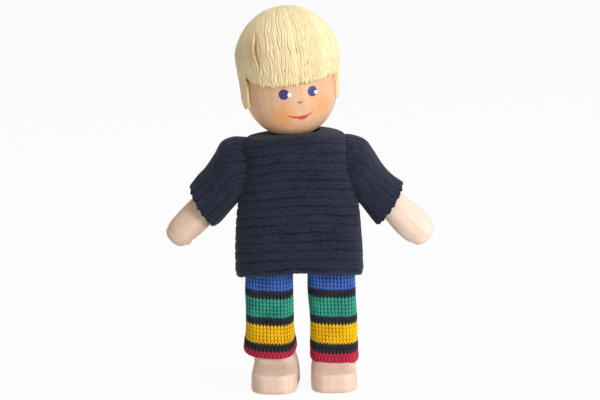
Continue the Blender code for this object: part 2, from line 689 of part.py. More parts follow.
def make_forearm(side, elbow, wood):
    """A wrist that widens into a mitten hand, with a tongue for the elbow."""
    inward = -SIDES[side]
    top = -(ARM_RADIUS + CLEARANCE)
    length = FOREARM_LENGTH + top
    hand_half, hand_thick = HAND_WIDTH / 2, HAND_THICKNESS / 2
    # Share of the length, half width and half thickness as shares of the hand's, and shift towards the body
    sections = (
        (0.0, 0.80, 0.96, 0.0),
        (0.2, 0.82, 0.96, 0.0),
        (0.45, 0.88, 0.98, 0.02),
        (0.62, 0.97, 1.0, 0.05),
        (0.78, 0.97, 0.96, 0.05),
        (0.90, 0.80, 0.78, 0.03),
        (0.97, 0.50, 0.50, 0.01),
        (1.0, 0.18, 0.18, 0.0),
    )
    rings = []
    for share, wide, thick, shift in sections:
        centre = inward * shift * HAND_WIDTH
        ring = []
        for k in range(ROUND_STEPS):
            a = 2 * math.pi * k / ROUND_STEPS
            x, y = hand_half * wide * math.cos(a), hand_thick * thick * math.sin(a)
            ring.append(Vector((centre + x, y, top - length * share)))
        rings.append(ring[::-1])
    mesh = loft(rings, capped=True)
    forearm = add_object(f"forearm_{side}", mesh, elbow, wood)
    r = ARM_TONGUE_RADIUS
    outline = arc((0, 0), r, 0, 180) + [(-r, top - r / 2), (r, top - r / 2)]
    join(forearm, plate(outline, -ARM_TONGUE_WIDTH / 2, ARM_TONGUE_WIDTH / 2, "YZ"))
    cut(forearm, rod(ARM_PIN_RADIUS + CLEARANCE, -ARM_RADIUS, ARM_RADIUS, "X"))


# Neck and head


def make_neck(torso, wood, brass):
    """A post that tilts on a pin in the torso's top and carries the head on its spigot."""
    neck = joint_empty("neck_joint", (0, 0, NECK_Z), (0, HEAD_TILT, 0))
    level = joint_empty("neck_level", (0, 0, NECK_Z))
    r = NECK_POST_RADIUS
    flange_top = NECK_PIVOT_DEPTH + HEAD_LIFT - CLEARANCE
    flange_low = flange_top - NECK_FLANGE_HEIGHT
    profile = [
        (0, flange_top + NECK_POST_LENGTH),
        (r, flange_top + NECK_POST_LENGTH),
        (r, flange_top),
        (NECK_FLANGE_RADIUS, flange_top),
        (NECK_FLANGE_RADIUS, flange_low),
        (0, flange_low),
    ]
    post = turned("neck_post", profile, neck, wood)
    half = LEG_TONGUE_WIDTH / 2
    blade = arc((0, 0), r, 180, 360) + [(r, flange_top - CLEARANCE), (-r, flange_top - CLEARANCE)]
    join(post, plate(blade, -half, half, "XZ"))
    cut(post, rod(ARM_PIN_RADIUS + CLEARANCE, -TORSO_DEPTH, TORSO_DEPTH, "Y"))
    slot_half = r + CLEARANCE + NECK_PIVOT_DEPTH * math.tan(NECK_SWAY)
    slot = block(2 * slot_half, 2 * (half + CLEARANCE), -r - CLEARANCE, 2 * NECK_PIVOT_DEPTH)
    cut(torso, slot, level)
    cut(torso, rod(ARM_PIN_RADIUS + CLEARANCE, -TORSO_DEPTH, TORSO_DEPTH, "Y"), level)
    reach = TORSO_DEPTH / 2 - CLEARANCE
    add_object("neck_pin", rod(ARM_PIN_RADIUS, -reach, reach, "Y"), level, brass)
    return neck


def sphere_profile(radius, centre, start, end):
    """(radius, height) points down a round profile, with its angles above the horizon."""
    return arc((0, centre), radius, start, end)


def make_head(neck, wood, wool):
    """An upright oval head with a bore for the neck post, and a wig cut open for the face."""
    base = NECK_PIVOT_DEPTH + HEAD_LIFT
    head = joint_empty("head_joint", (0, 0, base), (0, 0, HEAD_TURN), neck)
    flat_angle = math.degrees(math.acos(HEAD_FLAT_RADIUS / HEAD_RADIUS))
    jaw = HEAD_RADIUS * math.sin(math.radians(flat_angle))
    crown = jaw + HEAD_RISE
    bore = NECK_POST_RADIUS + CLEARANCE
    bore_top = NECK_POST_LENGTH + CLEARANCE
    profile = sphere_profile(HEAD_RADIUS, crown, 90, 0) + sphere_profile(HEAD_RADIUS, jaw, 0, -flat_angle)
    profile[0] = (0, crown + HEAD_RADIUS)
    turned("head", profile + [(bore, 0), (bore, bore_top), (0, bore_top)], head, wood)
    make_wig(head, jaw, crown, wool)


def make_wig(head, jaw, crown, wool):
    inner = HEAD_RADIUS + CLEARANCE
    outer = inner + WIG_THICKNESS
    hem_angle = math.degrees(math.asin((jaw - WIG_HEM) / inner))
    hem_inner = inner * math.cos(math.radians(hem_angle))
    profile = sphere_profile(outer, crown, 90, 0)
    profile += [(outer - WIG_EDGE_THICKNESS / 3, jaw), (hem_inner + WIG_EDGE_THICKNESS, WIG_HEM)]
    profile += sphere_profile(inner, jaw, -hem_angle, 0) + sphere_profile(inner, crown, 0, 90)
    profile[0] = (0, crown + outer)
    profile[-1] = (0, crown + inner)
    wig = turned("wig", profile, head, wool)
    spread = math.degrees(FACE_HALF_ANGLE)
    reach = 2 * outer
    face = [(0, 0)] + arc((0, 0), reach, 270 - spread, 270 + spread)
    cut(wig, plate(face, WIG_HEM - reach, FRINGE_HEIGHT, "XY"))


def main():
    global parts, cutters
    clear_scene()
    parts = new_collection("miniature_doll")
    cutters = new_collection("cutters")
    maple = new_material("pale wood", (0.83, 0.62, 0.45), 0.55)
    skin = new_material("tinted wood", (0.80, 0.50, 0.28), 0.45)
    brass = new_material("brass pin", (0.72, 0.53, 0.24), 0.35, 1.0)
    navy = new_material("navy knit", (0.022, 0.026, 0.045), 0.95)
    stripes = new_material("striped knit", (0.05, 0.16, 0.13), 0.9)
    elastic = new_material("elastic", (0.8, 0.8, 0.78), 0.8)
    wool = new_material("blond wool", (0.86, 0.72, 0.40), 0.85)

    root = joint_empty("root", (0, 0, 0))
    torso = make_torso(root, maple)
    make_seat(root, stripes, elastic)
    make_sweater(root, navy)
    for side in SIDES:
        make_leg(side, torso, maple, brass, stripes)
        make_arm(side, torso, maple, brass, navy)
    neck = make_neck(torso, maple, brass)
    make_head(neck, skin, wool)


main()
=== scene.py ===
# %% [markdown]
# # A jointed wooden doll in knitted clothes
# This lesson dresses a small dollhouse child: a turned wooden head under a wool wig, wooden hands
# and feet, a ribbed sweater and striped trousers. Its joints and sizes come from a imported model,
# which is loaded first and never moved. Every piece below is laid over that model in millimetres,
# and the wooden pieces with their paint, the wig, the seat of the trousers and the body of the
# sweater are told which body they move with.

# %% Load the imported model
import json
import math

import bpy
import numpy as np
from mathutils import Matrix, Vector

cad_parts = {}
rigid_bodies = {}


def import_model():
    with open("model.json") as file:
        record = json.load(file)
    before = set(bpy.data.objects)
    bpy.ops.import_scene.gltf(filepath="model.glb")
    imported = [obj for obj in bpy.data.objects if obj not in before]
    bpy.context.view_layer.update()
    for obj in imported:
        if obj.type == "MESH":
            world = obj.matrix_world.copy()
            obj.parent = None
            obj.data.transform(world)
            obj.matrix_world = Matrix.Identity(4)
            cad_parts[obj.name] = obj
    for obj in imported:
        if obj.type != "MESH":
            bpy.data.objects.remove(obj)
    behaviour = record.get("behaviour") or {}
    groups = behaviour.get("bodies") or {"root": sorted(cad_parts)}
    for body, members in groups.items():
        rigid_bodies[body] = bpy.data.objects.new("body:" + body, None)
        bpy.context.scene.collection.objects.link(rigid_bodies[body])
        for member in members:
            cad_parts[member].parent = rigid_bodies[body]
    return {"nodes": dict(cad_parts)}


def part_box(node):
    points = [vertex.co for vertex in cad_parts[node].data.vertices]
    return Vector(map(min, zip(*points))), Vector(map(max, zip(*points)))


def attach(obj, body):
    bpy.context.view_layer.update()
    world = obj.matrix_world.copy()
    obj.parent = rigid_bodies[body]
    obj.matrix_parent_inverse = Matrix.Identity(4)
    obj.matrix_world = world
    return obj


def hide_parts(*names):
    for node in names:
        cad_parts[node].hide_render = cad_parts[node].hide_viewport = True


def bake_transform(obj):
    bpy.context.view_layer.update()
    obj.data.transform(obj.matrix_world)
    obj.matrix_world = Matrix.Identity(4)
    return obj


MM = 0.001
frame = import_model()
nodes = frame["nodes"]
scene = bpy.context.scene


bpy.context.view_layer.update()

# %% [markdown]
# ## Where the joints are
# A few sizes of the model are repeated here, because the clothes are drawn round them. The doll
# looks towards -Y, and +X is its own left, so its right arm is on the left of the picture.

# %% Sizes of the doll
SIDES = {"left": 1, "right": -1}
HIP_X, KNEE_Z = 7.85, 17.5
SHOULDER_X, SHOULDER_Z = 12.67, 54.7
ARM_SPLAY = {"left": math.radians(45.0), "right": math.radians(46.5)}
TOE_OUT = {"left": 0.0, "right": math.radians(-4.0)}
FOOT_INSET = {"left": 0.0, "right": 1.5}
HEAD_RADIUS, JAW_Z, CROWN_Z = 11.2, 10.606, 18.606
HEAD_TILT, HEAD_TURN = math.radians(-4.5), math.radians(10.0)
NECK_Z, HEAD_RISE = 57.0, 5.8
HEAD_BASE = Matrix.Translation((0, 0, NECK_Z)) @ Matrix.Rotation(HEAD_TILT, 4, "Y")
HEAD_FRAME = np.array(HEAD_BASE @ Matrix.Translation((0, 0, HEAD_RISE)) @ Matrix.Rotation(HEAD_TURN, 4, "Z"))


def head_place(points):
    """Takes points of the head's own frame, with its base at the origin, to the doll's frame."""
    return points @ HEAD_FRAME[:3, :3].T + HEAD_FRAME[:3, 3]


def leg_place(points, side):
    """Takes points drawn about a leg's own upright axis to where that leg stands."""
    cosine, sine = math.cos(TOE_OUT[side]), math.sin(TOE_OUT[side])
    x, y, z = points.T
    return np.stack([SIDES[side] * HIP_X + cosine * x - sine * y, sine * x + cosine * y, z], axis=1)


def arm_place(points, side):
    """Takes points of (outward across the arm, depth, along the arm from the shoulder) to the arm."""
    cosine, sine = math.cos(ARM_SPLAY[side]), math.sin(ARM_SPLAY[side])
    across, depth, along = points.T
    x = SHOULDER_X + along * sine + across * cosine
    return np.stack([SIDES[side] * x, depth, SHOULDER_Z - along * cosine + across * sine], axis=1)


print("head base at, in mm:", np.round(head_place(np.zeros((1, 3)))[0], 2))

# %% [markdown]
# ## A short way to write materials
# Each finish is a small tree of nodes that ends in one Principled shader. Colours are given as they
# look on a screen and turned into the linear values that Blender calculates with. A helper adds a
# node and either sets an input or links it, so that a tree reads from top to bottom.

# %% Nodes


def screen_colour(red, green, blue):
    """A colour as seen on a screen, 0 to 255, in linear values."""
    shares = [value / 255 for value in (red, green, blue)]
    linear = [s / 12.92 if s <= 0.04045 else ((s + 0.055) / 1.055) ** 2.4 for s in shares]
    return (*linear, 1.0)


def add_node(tree, kind, inputs=None, **settings):
    """Adds a node. An input given as a socket is linked, and any other value is set."""
    made = tree.nodes.new("ShaderNode" + kind)
    for name, value in settings.items():
        setattr(made, name, value)
    for name, value in (inputs or {}).items():
        if isinstance(value, bpy.types.NodeSocket):
            tree.links.new(value, made.inputs[name])
        else:
            made.inputs[name].default_value = value
    return made


def calculate(tree, operation, first, second=0.0):
    return add_node(tree, "Math", {0: first, 1: second}, operation=operation).outputs[0]


def either_side(tree, value, share):
    """A value from 0 to 1 as a step up or down, scaled by a share."""
    return calculate(tree, "MULTIPLY", calculate(tree, "SUBTRACT", value, 0.5), share)


def mix_colours(tree, share, first, second):
    mixed = add_node(tree, "Mix", {0: share, 6: first, 7: second}, data_type="RGBA")
    return mixed.outputs[2]


print("middle grey in linear values:", round(screen_colour(128, 128, 128)[0], 3))

# %% Finishes from nodes


def new_finish(name, roughness, sheen=0.0, specular=0.3):
    """An empty finish: the material, its tree and its shader."""
    material = bpy.data.materials.new(name)
    material.use_nodes = True
    shader = material.node_tree.nodes["Principled BSDF"]
    shader.inputs["Roughness"].default_value = roughness
    shader.inputs["Sheen Weight"].default_value = sheen
    shader.inputs["Sheen Roughness"].default_value = 0.5
    shader.inputs["Specular IOR Level"].default_value = specular
    return material, material.node_tree, shader


def roughen(tree, shader, height, strength, depth_mm):
    """Feeds a height into the shader's normal."""
    inputs = {"Height": height, "Strength": strength, "Distance": depth_mm * MM}
    tree.links.new(add_node(tree, "Bump", inputs).outputs["Normal"], shader.inputs["Normal"])


def stretched_noise(tree, size_mm, turn=0.0, detail=3.0):
    """Noise whose spots have the given size along each axis, turned about Y first."""
    place = add_node(tree, "TexCoord").outputs["Object"]
    inputs = {"Vector": place, "Rotation": (0, turn, 0), "Scale": tuple(s * MM for s in size_mm)}
    mapped = add_node(tree, "Mapping", inputs, vector_type="TEXTURE").outputs["Vector"]
    return add_node(tree, "TexNoise", {"Vector": mapped, "Scale": 1.0, "Detail": detail}).outputs[0]


def grained_finish(name, tones, grain_mm, detail, bump, **look):
    """A finish that runs between two tones along noise, which also gives a slight bump."""
    material, tree, shader = new_finish(name, **look)
    grain = stretched_noise(tree, grain_mm, 0.0, detail)
    tree.links.new(mix_colours(tree, grain, *tones), shader.inputs["Base Color"])
    roughen(tree, shader, grain, *bump)
    return material


print("node helpers ready")

# %% [markdown]
# ## Floor, light and camera
# The doll stands on a plain white floor that runs past the picture on every side. The floor's
# material looks almost white to the camera and still takes the doll's shadow, while the light it
# sends back to the doll is that of ordinary white card. One large lamp stands in front on the
# right, weaker ones on the left and overhead, and the sky fills the rest.

# %% Floor and sky
FLOOR_REACH = 3000.0
SEEN_WHITE = 0.93


def seen_directly(tree):
    """1 for rays from the camera, from gloss and through glass, else 0."""
    path = add_node(tree, "LightPath").outputs
    either = calculate(tree, "MAXIMUM", path["Is Camera Ray"], path["Is Glossy Ray"])
    return calculate(tree, "MAXIMUM", either, path["Is Transmission Ray"])


def white_card():
    material, tree, shader = new_finish("white_card", 0.9)
    tooth = stretched_noise(tree, (6, 6, 6))
    card = mix_colours(tree, tooth, screen_colour(238, 238, 238), screen_colour(243, 243, 243))
    tree.links.new(card, shader.inputs["Base Color"])
    glow = add_node(tree, "Emission", {"Color": (1, 1, 1, 1), "Strength": 1.0})
    share = calculate(tree, "MULTIPLY", seen_directly(tree), SEEN_WHITE)
    mixed = add_node(tree, "MixShader", {0: share, 1: shader.outputs[0], 2: glow.outputs[0]})
    tree.links.new(mixed.outputs[0], tree.nodes["Material Output"].inputs["Surface"])
    return material


floor_mesh = bpy.data.meshes.new("floor")
reach = FLOOR_REACH * MM
floor_corners = [(-reach, -reach, 0), (reach, -reach, 0), (reach, reach, 0), (-reach, reach, 0)]
floor_mesh.from_pydata(floor_corners, [], [(0, 1, 2, 3)])
floor_mesh.materials.append(white_card())
floor = bpy.data.objects.new("floor", floor_mesh)
scene.collection.objects.link(floor)

SKY_FILL = 0.36
sky = scene.world or bpy.data.worlds.new("sky")
scene.world = sky
sky.use_nodes = True
sky_tree = sky.node_tree
background = sky_tree.nodes["Background"]
background.inputs["Color"].default_value = (1, 1, 1, 1)
seen = seen_directly(sky_tree)
strength = calculate(sky_tree, "MULTIPLY", seen, 1.0 - SKY_FILL)
sky_tree.links.new(calculate(sky_tree, "ADD", strength, SKY_FILL), background.inputs["Strength"])
print("floor and sky made")

# %% Lamps
CHEST = np.array([0, 0, 50.0])
# Place in mm, power in watts and size in mm of each lamp
LAMPS = {
    "key_lamp": ((490, -530, 280), 4.15, 300),
    "fill_lamp": ((-500, -500, 260), 0.1, 500),
    "top_lamp": ((120, 20, 620), 1.5, 300),
}


def lamp(name, place_mm, watts, size_mm):
    """A square soft lamp that faces the doll's chest."""
    light = bpy.data.lights.new(name, "AREA")
    light.energy = watts
    light.size = size_mm * MM
    holder = bpy.data.objects.new(name, light)
    scene.collection.objects.link(holder)
    place = np.array(place_mm)
    aim = CHEST - place
    holder.location = place * MM
    heading = math.atan2(aim[1], aim[0]) - math.pi / 2
    pitch = math.atan2(aim[2], math.hypot(aim[0], aim[1])) + math.pi / 2
    holder.rotation_euler = (pitch, 0, heading)


for name, facts in LAMPS.items():
    lamp(name, *facts)
print("lamps:", list(LAMPS))

# %% Camera
CAMERA_RISE, CAMERA_ROLL = math.radians(10.0), math.radians(-1.2)
CAMERA_DISTANCE = 800.0
CAMERA_AIM = (0.4, 0.0, 46.3)
PIXEL_SIZE = 0.245
PICTURE_WIDTH = 600
camera_data = bpy.data.cameras.new("camera")
camera_data.sensor_width = 36.0
camera_data.lens = camera_data.sensor_width * CAMERA_DISTANCE / (PICTURE_WIDTH * PIXEL_SIZE)
camera = bpy.data.objects.new("camera", camera_data)
scene.collection.objects.link(camera)
look = Matrix.Rotation(math.pi / 2 - CAMERA_RISE, 4, "X") @ Matrix.Rotation(CAMERA_ROLL, 4, "Z")
back = (0, -CAMERA_DISTANCE * math.cos(CAMERA_RISE), CAMERA_DISTANCE * math.sin(CAMERA_RISE))
eye = [(aim + step) * MM for aim, step in zip(CAMERA_AIM, back)]
camera.matrix_world = Matrix.Translation(eye) @ look
scene.camera = camera
scene.view_settings.view_transform = "Standard"
print("camera lens", round(camera_data.lens, 1), "mm")

# %% [markdown]
# ## Skins made of rings
# Nearly every piece of this doll is a skin drawn over a stack of rings: a sleeve, a trouser leg, a
# hand, the turned head. Blender could loft curves instead, but a plain grid of points is easy to
# push in and out, and that is how the stitches are made below. Ring points are spread evenly, so
# that stitches have one size all the way round.

# %% Smooth curves


def turns(count):
    """Even angles once round, in radians."""
    return np.arange(count) / count * 2 * np.pi


def running_length(path):
    """The length along a path up to each of its points."""
    return np.concatenate([[0], np.cumsum(np.linalg.norm(np.diff(path, axis=0), axis=1))])


def unit_rows(vectors):
    """Each row scaled to a length of 1."""
    return vectors / np.linalg.norm(vectors, axis=1, keepdims=True)


def smooth_step(share):
    share = np.clip(share, 0, 1)
    return share * share * (3 - 2 * share)


def passed(place, start, reach):
    """0 before a start, 1 once a place is past it by the reach, and smooth between."""
    return smooth_step((place - start) / reach)


def bell(distance, reach):
    """1 at no distance, and less and less beyond the reach."""
    return np.exp(-((distance / reach) ** 2))


def smooth_values(stations, values, wanted):
    """A smooth curve through values at stations, read off at the wanted places."""
    stations = np.asarray(stations, float)
    values = np.asarray(values, float)
    slopes = np.gradient(values, stations, axis=0)
    low = np.clip(np.searchsorted(stations, wanted) - 1, 0, len(stations) - 2)
    gap = stations[low + 1] - stations[low]
    t = (np.asarray(wanted) - stations[low]) / gap
    start, rise = (1 + 2 * t) * (1 - t) ** 2, t * (1 - t) ** 2 * gap
    end, fall = t * t * (3 - 2 * t), t * t * (t - 1) * gap
    if values.ndim > 1:
        start, rise, end, fall = (part[:, None] for part in (start, rise, end, fall))
    return start * values[low] + rise * slopes[low] + end * values[low + 1] + fall * slopes[low + 1]


print("a smooth step, from 0 to 1:", smooth_step(np.linspace(0, 1, 5)))

# %% Rings and grids
FINE_STEPS = 1440


def spread_evenly(outline, count):
    """The same number of points at even steps round a closed outline."""
    closed = np.vstack([outline, outline[:1]])
    steps = running_length(closed)
    wanted = np.arange(count) / count * steps[-1]
    return np.stack([np.interp(wanted, steps, closed[:, k]) for k in range(2)], axis=1)


def oval_ring(half_width, half_depth, squareness, count):
    """An oval between an ellipse and a rectangle, from the front round by the doll's left."""
    angle = turns(FINE_STEPS)
    wide, deep = np.abs(np.sin(angle)) / half_width, np.abs(np.cos(angle)) / half_depth
    reach = (wide**squareness + deep**squareness) ** (-1 / squareness)
    return spread_evenly(np.stack([reach * np.sin(angle), -reach * np.cos(angle)], axis=1), count)


def grid_faces(rows, columns, closed=True):
    """Quads of a grid whose points run row by row, with the rows going up and round by the left."""
    row = np.arange(rows - 1)[:, None]
    column = np.arange(columns if closed else columns - 1)[None, :]
    after = (column + 1) % columns
    here, above = row * columns, (row + 1) * columns
    quad = [here + column, here + after, above + after, above + column]
    return np.stack(quad, axis=-1).reshape(-1, 4)


def grid_normals(points, faces):
    """A normal at every point, so that neighbouring pieces of one grid shade alike at their joint."""
    corner = points[faces]
    flat = np.cross(corner[:, 2] - corner[:, 0], corner[:, 3] - corner[:, 1])
    normals = np.zeros_like(points)
    for k in range(4):
        np.add.at(normals, faces[:, k], flat)
    return normals / np.maximum(np.linalg.norm(normals, axis=1, keepdims=True), 1e-12)


print("a tube of 3 rings with 8 points has", len(grid_faces(3, 8)), "faces")

# %% Meshes from grids


def make_piece(name, points, faces, materials, relief=None, normals=None, face_finish=None):
    """One mesh object from points in mm. Points that no face uses are left out."""
    used, renumbered = np.unique(faces, return_inverse=True)
    mesh = bpy.data.meshes.new(name)
    mesh.from_pydata((points[used] * MM).tolist(), [], renumbered.reshape(faces.shape).tolist())
    mesh.shade_smooth()
    for material in materials:
        mesh.materials.append(material)
    if face_finish is not None:
        mesh.polygons.foreach_set("material_index", face_finish.astype(np.int32))
    if relief is not None:
        heights = mesh.attributes.new("relief", "FLOAT", "POINT").data
        heights.foreach_set("value", relief[used].astype(np.float32))
    if normals is not None:
        mesh.normals_split_custom_set_from_vertices(normals[used].tolist())
    piece = bpy.data.objects.new(name, mesh)
    scene.collection.objects.link(piece)
    return piece


def join_parts(parts):
    """Several (points, faces) lists as one."""
    points, faces, start = [], [], 0
    for part_points, part_faces in parts:
        points.append(part_points)
        faces.append(part_faces + start)
        start += len(part_points)
    return np.vstack(points), np.vstack(faces)


print("ring helpers ready")

# %% [markdown]
# ## Wood
# The hands and feet are pale, sanded wood with a fine grain along the limb. Stretched noise gives
# the grain: broad soft bands for the year rings and thin streaks for the fibres. The same fibres
# feed a slight bump. The head is the same wood under a peach tint and a thin satin varnish, with
# two orange blushes rubbed into the grain of the cheeks.

# %% Wood finishes
FIBRE_SIZE = (0.16, 0.16, 5.0)
BAND_SIZE = (1.5, 1.5, 22.0)
BAND_SHARE, FIBRE_SHARE = 0.9, 0.6
GRAIN_RANGE = {"From Min": 0.45, "From Max": 1.05}


def wood_finish(name, light, dark, turn=0.0, roughness=0.55, blushes=(), blush_colour=None, specular=0.3):
    material, tree, shader = new_finish(name, roughness, specular=specular)
    bands = stretched_noise(tree, BAND_SIZE, turn, 2.0)
    fibres = stretched_noise(tree, FIBRE_SIZE, turn, 4.0)
    broad = calculate(tree, "MULTIPLY", bands, BAND_SHARE)
    thin = calculate(tree, "MULTIPLY", fibres, FIBRE_SHARE)
    grain = calculate(tree, "ADD", broad, thin)
    share = add_node(tree, "MapRange", {"Value": grain, **GRAIN_RANGE}).outputs[0]
    tint = mix_colours(tree, share, dark, light)
    for centre, radius, strength in blushes:
        place = add_node(tree, "TexCoord").outputs["Object"]
        ends = {0: place, 1: tuple(centre * MM)}
        far = add_node(tree, "VectorMath", ends, operation="DISTANCE").outputs["Value"]
        limits = {"Value": far, "From Min": radius * MM, "From Max": 0.1 * radius * MM}
        near = add_node(tree, "MapRange", limits, interpolation_type="SMOOTHSTEP").outputs[0]
        rubbed = calculate(tree, "MULTIPLY", near, calculate(tree, "MULTIPLY", fibres, strength))
        tint = mix_colours(tree, rubbed, tint, blush_colour)
    tree.links.new(tint, shader.inputs["Base Color"])
    roughen(tree, shader, fibres, 0.18, 0.06)
    return material


PALE_LIGHT, PALE_DARK = screen_colour(239, 212, 192), screen_colour(222, 188, 166)
# The light and the dark of the grain on each hand. The doll's left hand, on the lamp's side, is painted
# lighter and its right hand darker, as painted light and shade
LIT_AND_SHADED_HAND_TONES = {
    "left": (screen_colour(248, 225, 208), screen_colour(226, 194, 172)),
    "right": (screen_colour(230, 201, 181), screen_colour(208, 173, 150)),
}
foot_wood = wood_finish("pale_wood_feet", PALE_LIGHT, PALE_DARK)
# Each hand gets its own wood, with painted light in the left hand's tones and painted shade in the right
# hand's
hand_wood = {}
for side, sign in SIDES.items():
    hand_wood[side] = wood_finish(f"pale_wood_{side}_hand", *LIT_AND_SHADED_HAND_TONES[side], -sign * ARM_SPLAY[side])
print("wood finishes:", foot_wood.name, [m.name for m in hand_wood.values()])

# %% [markdown]
# ## Head
# The head is turned on a lathe: two balls of one radius, joined by a short straight wall, with a
# flat underneath and a hole for the neck. A profile is therefore spun round the head's axis. The
# flat and the hole are kept, since they show when the head is tilted.

# %% Shape of the head
HEAD_FLAT, NECK_BORE, BORE_DEPTH = 3.6, 2.4, 8.3
HEAD_COLUMNS = 128


def head_point(azimuth, height, lift=0.0):
    """A point on the head at an angle from its front, towards its left, and a height over its base."""
    centre = np.clip(height, JAW_Z, CROWN_Z)
    reach = np.sqrt(np.maximum(HEAD_RADIUS**2 - (height - centre) ** 2, 0))
    swell = 1 + lift / HEAD_RADIUS
    x, y = swell * reach * np.sin(azimuth), -swell * reach * np.cos(azimuth)
    return np.stack([x, y, centre + swell * (height - centre)], axis=-1)


def spin(profile, columns):
    """Turns a list of (radius, height) round the upright axis."""
    angle = turns(columns)
    radius, height = np.asarray(profile, float).T
    x, y = radius[:, None] * np.sin(angle), -radius[:, None] * np.cos(angle)
    z = np.repeat(height[:, None], columns, axis=1)
    return np.stack([x, y, z], axis=-1).reshape(-1, 3), grid_faces(len(profile), columns)


lowest = -math.acos(HEAD_FLAT / HEAD_RADIUS)
# Down the bore, round its narrow edge and out over the flat
profile = [(NECK_BORE, BORE_DEPTH), (NECK_BORE, 0.5), (NECK_BORE, 0.05), (NECK_BORE + 0.05, 0)]
profile.append((HEAD_FLAT - 0.1, 0))
for angle in np.linspace(lowest, 0, 26):
    profile.append((HEAD_RADIUS * math.cos(angle), JAW_Z + HEAD_RADIUS * math.sin(angle)))
for angle in np.linspace(0, math.pi / 2, 30):
    profile.append((max(HEAD_RADIUS * math.cos(angle), 0.002), CROWN_Z + HEAD_RADIUS * math.sin(angle)))
head_points, head_faces = spin(profile, HEAD_COLUMNS)
print("head profile:", len(profile), "places")

# %% Tint and blushes
# Angle from the front, height, radius and strength of the rouge on each cheek. The rouge is real; its greater
# strength on the doll's right cheek, on the shaded side, is painted shade
BLUSHES = ((-22.5, 5.9, 4.4, 1.45), (31.0, 7.7, 4.4, 1.0))
blush_places = []
for azimuth, height, radius, strength in BLUSHES:
    spot = head_point(np.array(math.radians(azimuth)), np.array(height))
    blush_places.append((head_place(spot[None])[0], radius, strength))
face_wood = wood_finish(
    "tinted_wood_head",
    screen_colour(231, 186, 147),
    screen_colour(213, 163, 123),
    HEAD_TILT,
    0.42,
    blush_places,
    screen_colour(232, 148, 52),
    0.6,
)
head = make_piece("turned_head", head_place(head_points), head_faces, [face_wood])
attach(head, "head")
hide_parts("head")
print("head:", len(head.data.polygons), "faces")

# %% [markdown]
# ## Painted face
# The face is a few dabs of paint: two indigo eyes with a white glint each, a short dash for the
# nose and a thin red smile with fuller lips in the middle. Each dab is drawn flat, as a round spot
# or a stroke, and wrapped onto the head a few hundredths of a millimetre proud, thicker in its
# middle than at its rim, as wet paint dries.

# %% A dab of paint
PAINT_LIFT, RIM_LIFT = 0.07, 0.01


def paint_finish(name, tone, deep):
    """Paint that a brush has dragged a little, from its deep tone to its plain one."""
    return grained_finish(name, (deep, tone), (0.5, 0.5, 0.9), 3.0, (0.25, 0.03), roughness=0.5, specular=0.4)


def wrap_onto_head(azimuth, height, across, up, lift):
    """Flat offsets in mm from a spot on the head, wrapped onto its surface."""
    spot = head_point(np.array(azimuth), np.array(height))
    outward = spot - np.array([0, 0, min(max(height, JAW_Z), CROWN_Z)])
    outward /= np.linalg.norm(outward)
    sideways = np.array([math.cos(azimuth), math.sin(azimuth), 0])
    upward = np.cross(sideways, -outward)
    flat = spot + across[:, None] * sideways + up[:, None] * upward
    axis = np.stack([0 * across, 0 * across, np.clip(flat[:, 2], JAW_Z, CROWN_Z)], axis=1)
    arm = flat - axis
    arm *= ((HEAD_RADIUS + lift) / np.linalg.norm(arm, axis=1))[:, None]
    return head_place(axis + arm)


def paint_spot(name, azimuth, height, wide, tall, lean, finish, rise=PAINT_LIFT):
    """A round or oval dab. wide and tall are its half sizes."""
    rings, around = 7, 40
    share = np.repeat(np.linspace(1, 0.001, rings), around)
    angle = np.tile(turns(around), rings)
    x, y = wide * share * np.cos(angle), tall * share * np.sin(angle)
    across = x * math.cos(lean) - y * math.sin(lean)
    up = x * math.sin(lean) + y * math.cos(lean)
    lift = RIM_LIFT + rise * (1 - share**4)
    points = wrap_onto_head(math.radians(azimuth), height, across, up, lift)
    piece = make_piece(name, points, grid_faces(rings, around), [finish])
    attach(piece, "head")


print("a dab of paint stands", PAINT_LIFT + RIM_LIFT, "mm proud")

# %% A stroke of paint
STROKE_END = 0.25


def paint_stroke(name, path, half_widths, finish, rise=PAINT_LIFT):
    """A brush stroke along (azimuth, height) points, with a half width at each."""
    path = np.asarray(path, float)
    reach = HEAD_RADIUS * np.cos(np.arcsin(np.clip((path[:, 1] - JAW_Z) / HEAD_RADIUS, -1, 0)))
    flat = np.stack([np.radians(path[:, 0]) * reach, path[:, 1]], axis=1)
    stations = running_length(flat)
    fine = np.linspace(0, stations[-1], 60)
    angle = np.radians(smooth_values(stations, path[:, 0], fine))
    height = smooth_values(stations, path[:, 1], fine)
    half = np.interp(fine, stations, half_widths)
    half *= np.sqrt(np.clip(np.minimum(fine, stations[-1] - fine) / STROKE_END, 0.01, 1))
    slope = np.arctan2(np.gradient(height), np.gradient(angle * HEAD_RADIUS))
    offsets = np.array([1.0, 0.7, 0.35, 0.0, -0.35, -0.7, -1.0])
    rows = []
    for offset in offsets[::-1]:
        turned = angle - offset * half * np.sin(slope) / HEAD_RADIUS
        lift = RIM_LIFT + rise * (1 - offset**2)
        rows.append(head_point(turned, height + offset * half * np.cos(slope), lift))
    points = head_place(np.vstack(rows))
    piece = make_piece(name, points, grid_faces(len(offsets), len(fine), closed=False), [finish])
    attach(piece, "head")


print("a stroke narrows over its last", STROKE_END, "mm")

